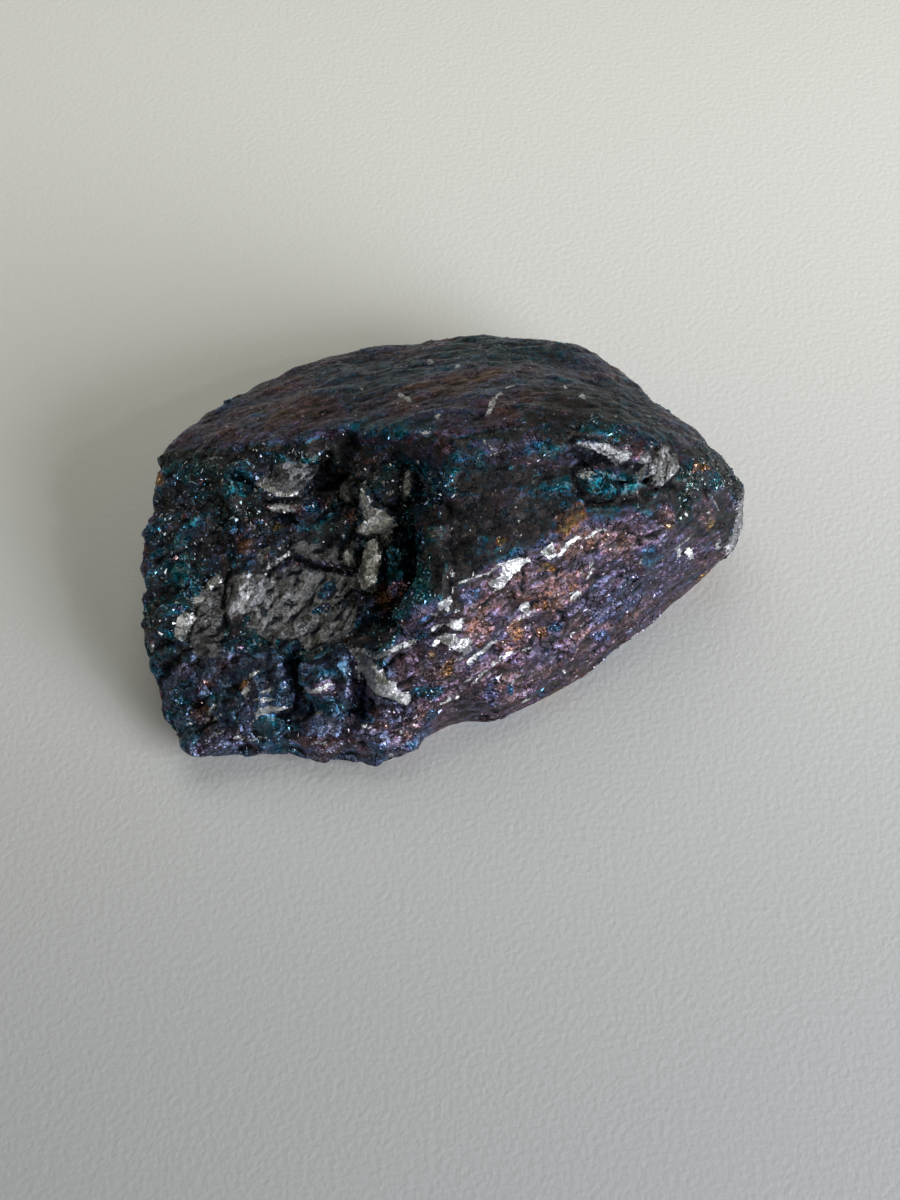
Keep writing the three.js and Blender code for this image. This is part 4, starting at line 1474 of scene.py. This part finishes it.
# %% Shape the crystals and set them into the skin
SMALLEST_CRYSTAL = 0.20
LARGEST_CRYSTAL = 0.85
LEAN = 0.42
SHORTEST_SIDES = (0.50, 0.25, 0.20)
LONGEST_SIDES = (1.3, 0.8, 0.5)
CHIPPED = 0.10
CORNERS = np.array([(1, 0, 0), (0, 1, 0), (-1, 0, 0), (0, -1, 0), (0, 0, 1), (0, 0, -1)], float)
SIDES = np.array([(0, 1, 4), (1, 2, 4), (2, 3, 4), (3, 0, 4), (1, 0, 5), (2, 1, 5), (3, 2, 5), (0, 3, 5)])

# Crystals are larger and stand taller where the skin itself is more crystalline.
sizes_of = SMALLEST_CRYSTAL + (LARGEST_CRYSTAL - SMALLEST_CRYSTAL) * draw.random(CRYSTAL_COUNT) ** 2
sizes_of *= 0.45 + 0.75 * crystal_here
upright = unit(directions[chosen] + LEAN * draw.normal(0, 0.5, (CRYSTAL_COUNT, 3)))
aside = unit(np.cross(upright, draw.normal(size=(CRYSTAL_COUNT, 3))))
across = np.cross(upright, aside)
stretch = draw.uniform(SHORTEST_SIDES, LONGEST_SIDES, (CRYSTAL_COUNT, 3)) * sizes_of[:, None]
stretch[:, 2] *= 0.6 + 0.8 * crystal_here
corners = CORNERS + draw.normal(0, CHIPPED, (CRYSTAL_COUNT, 6, 3))
axes = np.stack([aside, across, upright], axis=1)
crystals = (corners * stretch[:, None, :]) @ axes
sunk = draw.uniform(0.15, 0.65, CRYSTAL_COUNT) * stretch[:, 2]
crystals += (middles[chosen] - directions[chosen] * sunk[:, None])[:, None, :]
crystals = np.clip(crystals, np.array(cad_low) / MM, np.array(cad_high) / MM).reshape(-1, 3)
sides = (SIDES + 6 * np.arange(CRYSTAL_COUNT)[:, None, None]).reshape(-1, 3)

grain_mesh = bpy.data.meshes.new("crystal_grains")
grain_mesh.from_pydata((crystals * MM).tolist(), [], sides.tolist())
grains = bpy.data.objects.new("crystal_grains", grain_mesh)
bpy.context.collection.objects.link(grains)
grain_mesh.materials.append(ore)
print("crystals:", CRYSTAL_COUNT, "with", len(sides), "triangles")


# %% Paint the crystals like the skin under them
def keep_on_crystals(name, values):
    """Stores one value for each crystal, on all of its corners."""
    keep(grains, name, np.repeat(values, len(CORNERS), axis=0))


film_under = film[base] + draw.normal(0, 0.05, CRYSTAL_COUNT)
crust_under = crust[base] - 0.30 * crystal_here + draw.normal(0, 0.15, CRYSTAL_COUNT)
keep_on_crystals("film", np.clip(film_under, 0, 1))
keep_on_crystals("crust", np.clip(crust_under, 0, 1))
keep_on_crystals("crystal", np.clip(crystal_here + 0.2, 0, 1))
keep_on_crystals("bare", bare[base])
keep_on_crystals("shine", shine[base])
keep_on_crystals("edge", np.full(CRYSTAL_COUNT, 0.55))
keep_on_crystals("grown", np.ones(CRYSTAL_COUNT))
keep_on_crystals("flow", flow[base])

# %% [markdown]
# The specimen lies on a white board with a pebbled surface whose grains are a little over a
# millimetre across. A plane at the height of the underside is enough, with the pebbles in its bump.
# The board is painted darker towards the camera, a painted shade, and paler at the far side.

# %% Lay the board
BOARD_SIZE = 4.0
BOARD_DROP = 0.02 * MM
BOARD_FADE = 110
PEBBLE = 1.25
NOISE_PER_PEBBLE = 1.6
PEBBLE_BUMP = 0.24 * MM
PEBBLE_BUMP_STRENGTH = 0.32
BOARD_NEAR_SHADED = (0.43, 0.448, 0.485, 1)
BOARD_FAR = (0.96, 0.98, 0.98, 1)

bpy.ops.mesh.primitive_plane_add(size=BOARD_SIZE, location=(0, 0, -BOARD_DROP))
board = bpy.context.object
board.name = "white_board"
board_paint, board_start, board_surface, board_place = new_material("pebbled_board")
pebbles = board_start.node("ShaderNodeTexNoise", {}, {
    "Vector": board_place, "Scale": NOISE_PER_PEBBLE / PEBBLE, "Detail": 1.0,
})
board_bump = board_start.node("ShaderNodeBump", {}, {
    "Strength": PEBBLE_BUMP_STRENGTH, "Distance": PEBBLE_BUMP, "Height": pebbles,
})
# Painted shade: the board's colour darkens towards the camera.
board_painted_shade = board_place.part("Y").step(-BOARD_FADE, BOARD_FADE).blend(BOARD_NEAR_SHADED, BOARD_FAR)
board_shader = board_start.node("ShaderNodeBsdfPrincipled", {}, {
    "Base Color": board_painted_shade, "Roughness": 0.7, "Normal": board_bump,
})
board_shader.into(board_surface)
board.data.materials.append(board_paint)
print("board laid")

# %% [markdown]
# A window stands to the right and a little in front, so the front ridge mirrors it and the shadow
# falls to the left. A small bright lamp near it picks out the crystal faces, one weak light behind
# brightens the far part of the board, a weaker one at the left lifts the shadow, and the room around
# is dim and even.

# %% Light the stone
ROOM = (0.124, 0.114, 0.074, 1)
LIGHTS = [
    # name, azimuth and elevation in degrees, distance and size in metres, power in watts, colour
    ("window_light", -38, 21, 0.50, 0.30, 2.90, (0.98, 0.99, 1.0)),
    ("sparkle_light", -28, 42, 0.60, 0.03, 0.20, (1.0, 1.0, 1.0)),
    ("far_light", 105, 62, 0.75, 0.60, 1.60, (1.0, 0.99, 0.93)),
    ("left_light", 170, 38, 0.70, 0.50, 0.11, (1.0, 0.94, 0.78)),
]

for name, azimuth, elevation, distance, size, power, tint in LIGHTS:
    azimuth = math.radians(azimuth)
    elevation = math.radians(elevation)
    level = math.cos(elevation)
    direction = Vector((math.cos(azimuth) * level, math.sin(azimuth) * level, math.sin(elevation)))
    bpy.ops.object.light_add(type="AREA", location=direction * distance)
    light = bpy.context.object
    light.name = name
    light.rotation_euler = direction.to_track_quat("Z", "Y").to_euler()
    light.data.size = size
    light.data.energy = power
    light.data.color = tint

room = bpy.data.worlds.new("room")
room.use_nodes = True
room.node_tree.nodes["Background"].inputs["Color"].default_value = ROOM
bpy.context.scene.world = room
bpy.context.scene.view_settings.view_transform = "Standard"
print("lights:", len(LIGHTS))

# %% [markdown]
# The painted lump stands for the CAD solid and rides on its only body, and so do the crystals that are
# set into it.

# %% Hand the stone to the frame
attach(lump, "root")
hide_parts("chalcopyrite_lump")
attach(grains, "root")
print("triangles of the lump:", len(triangles))
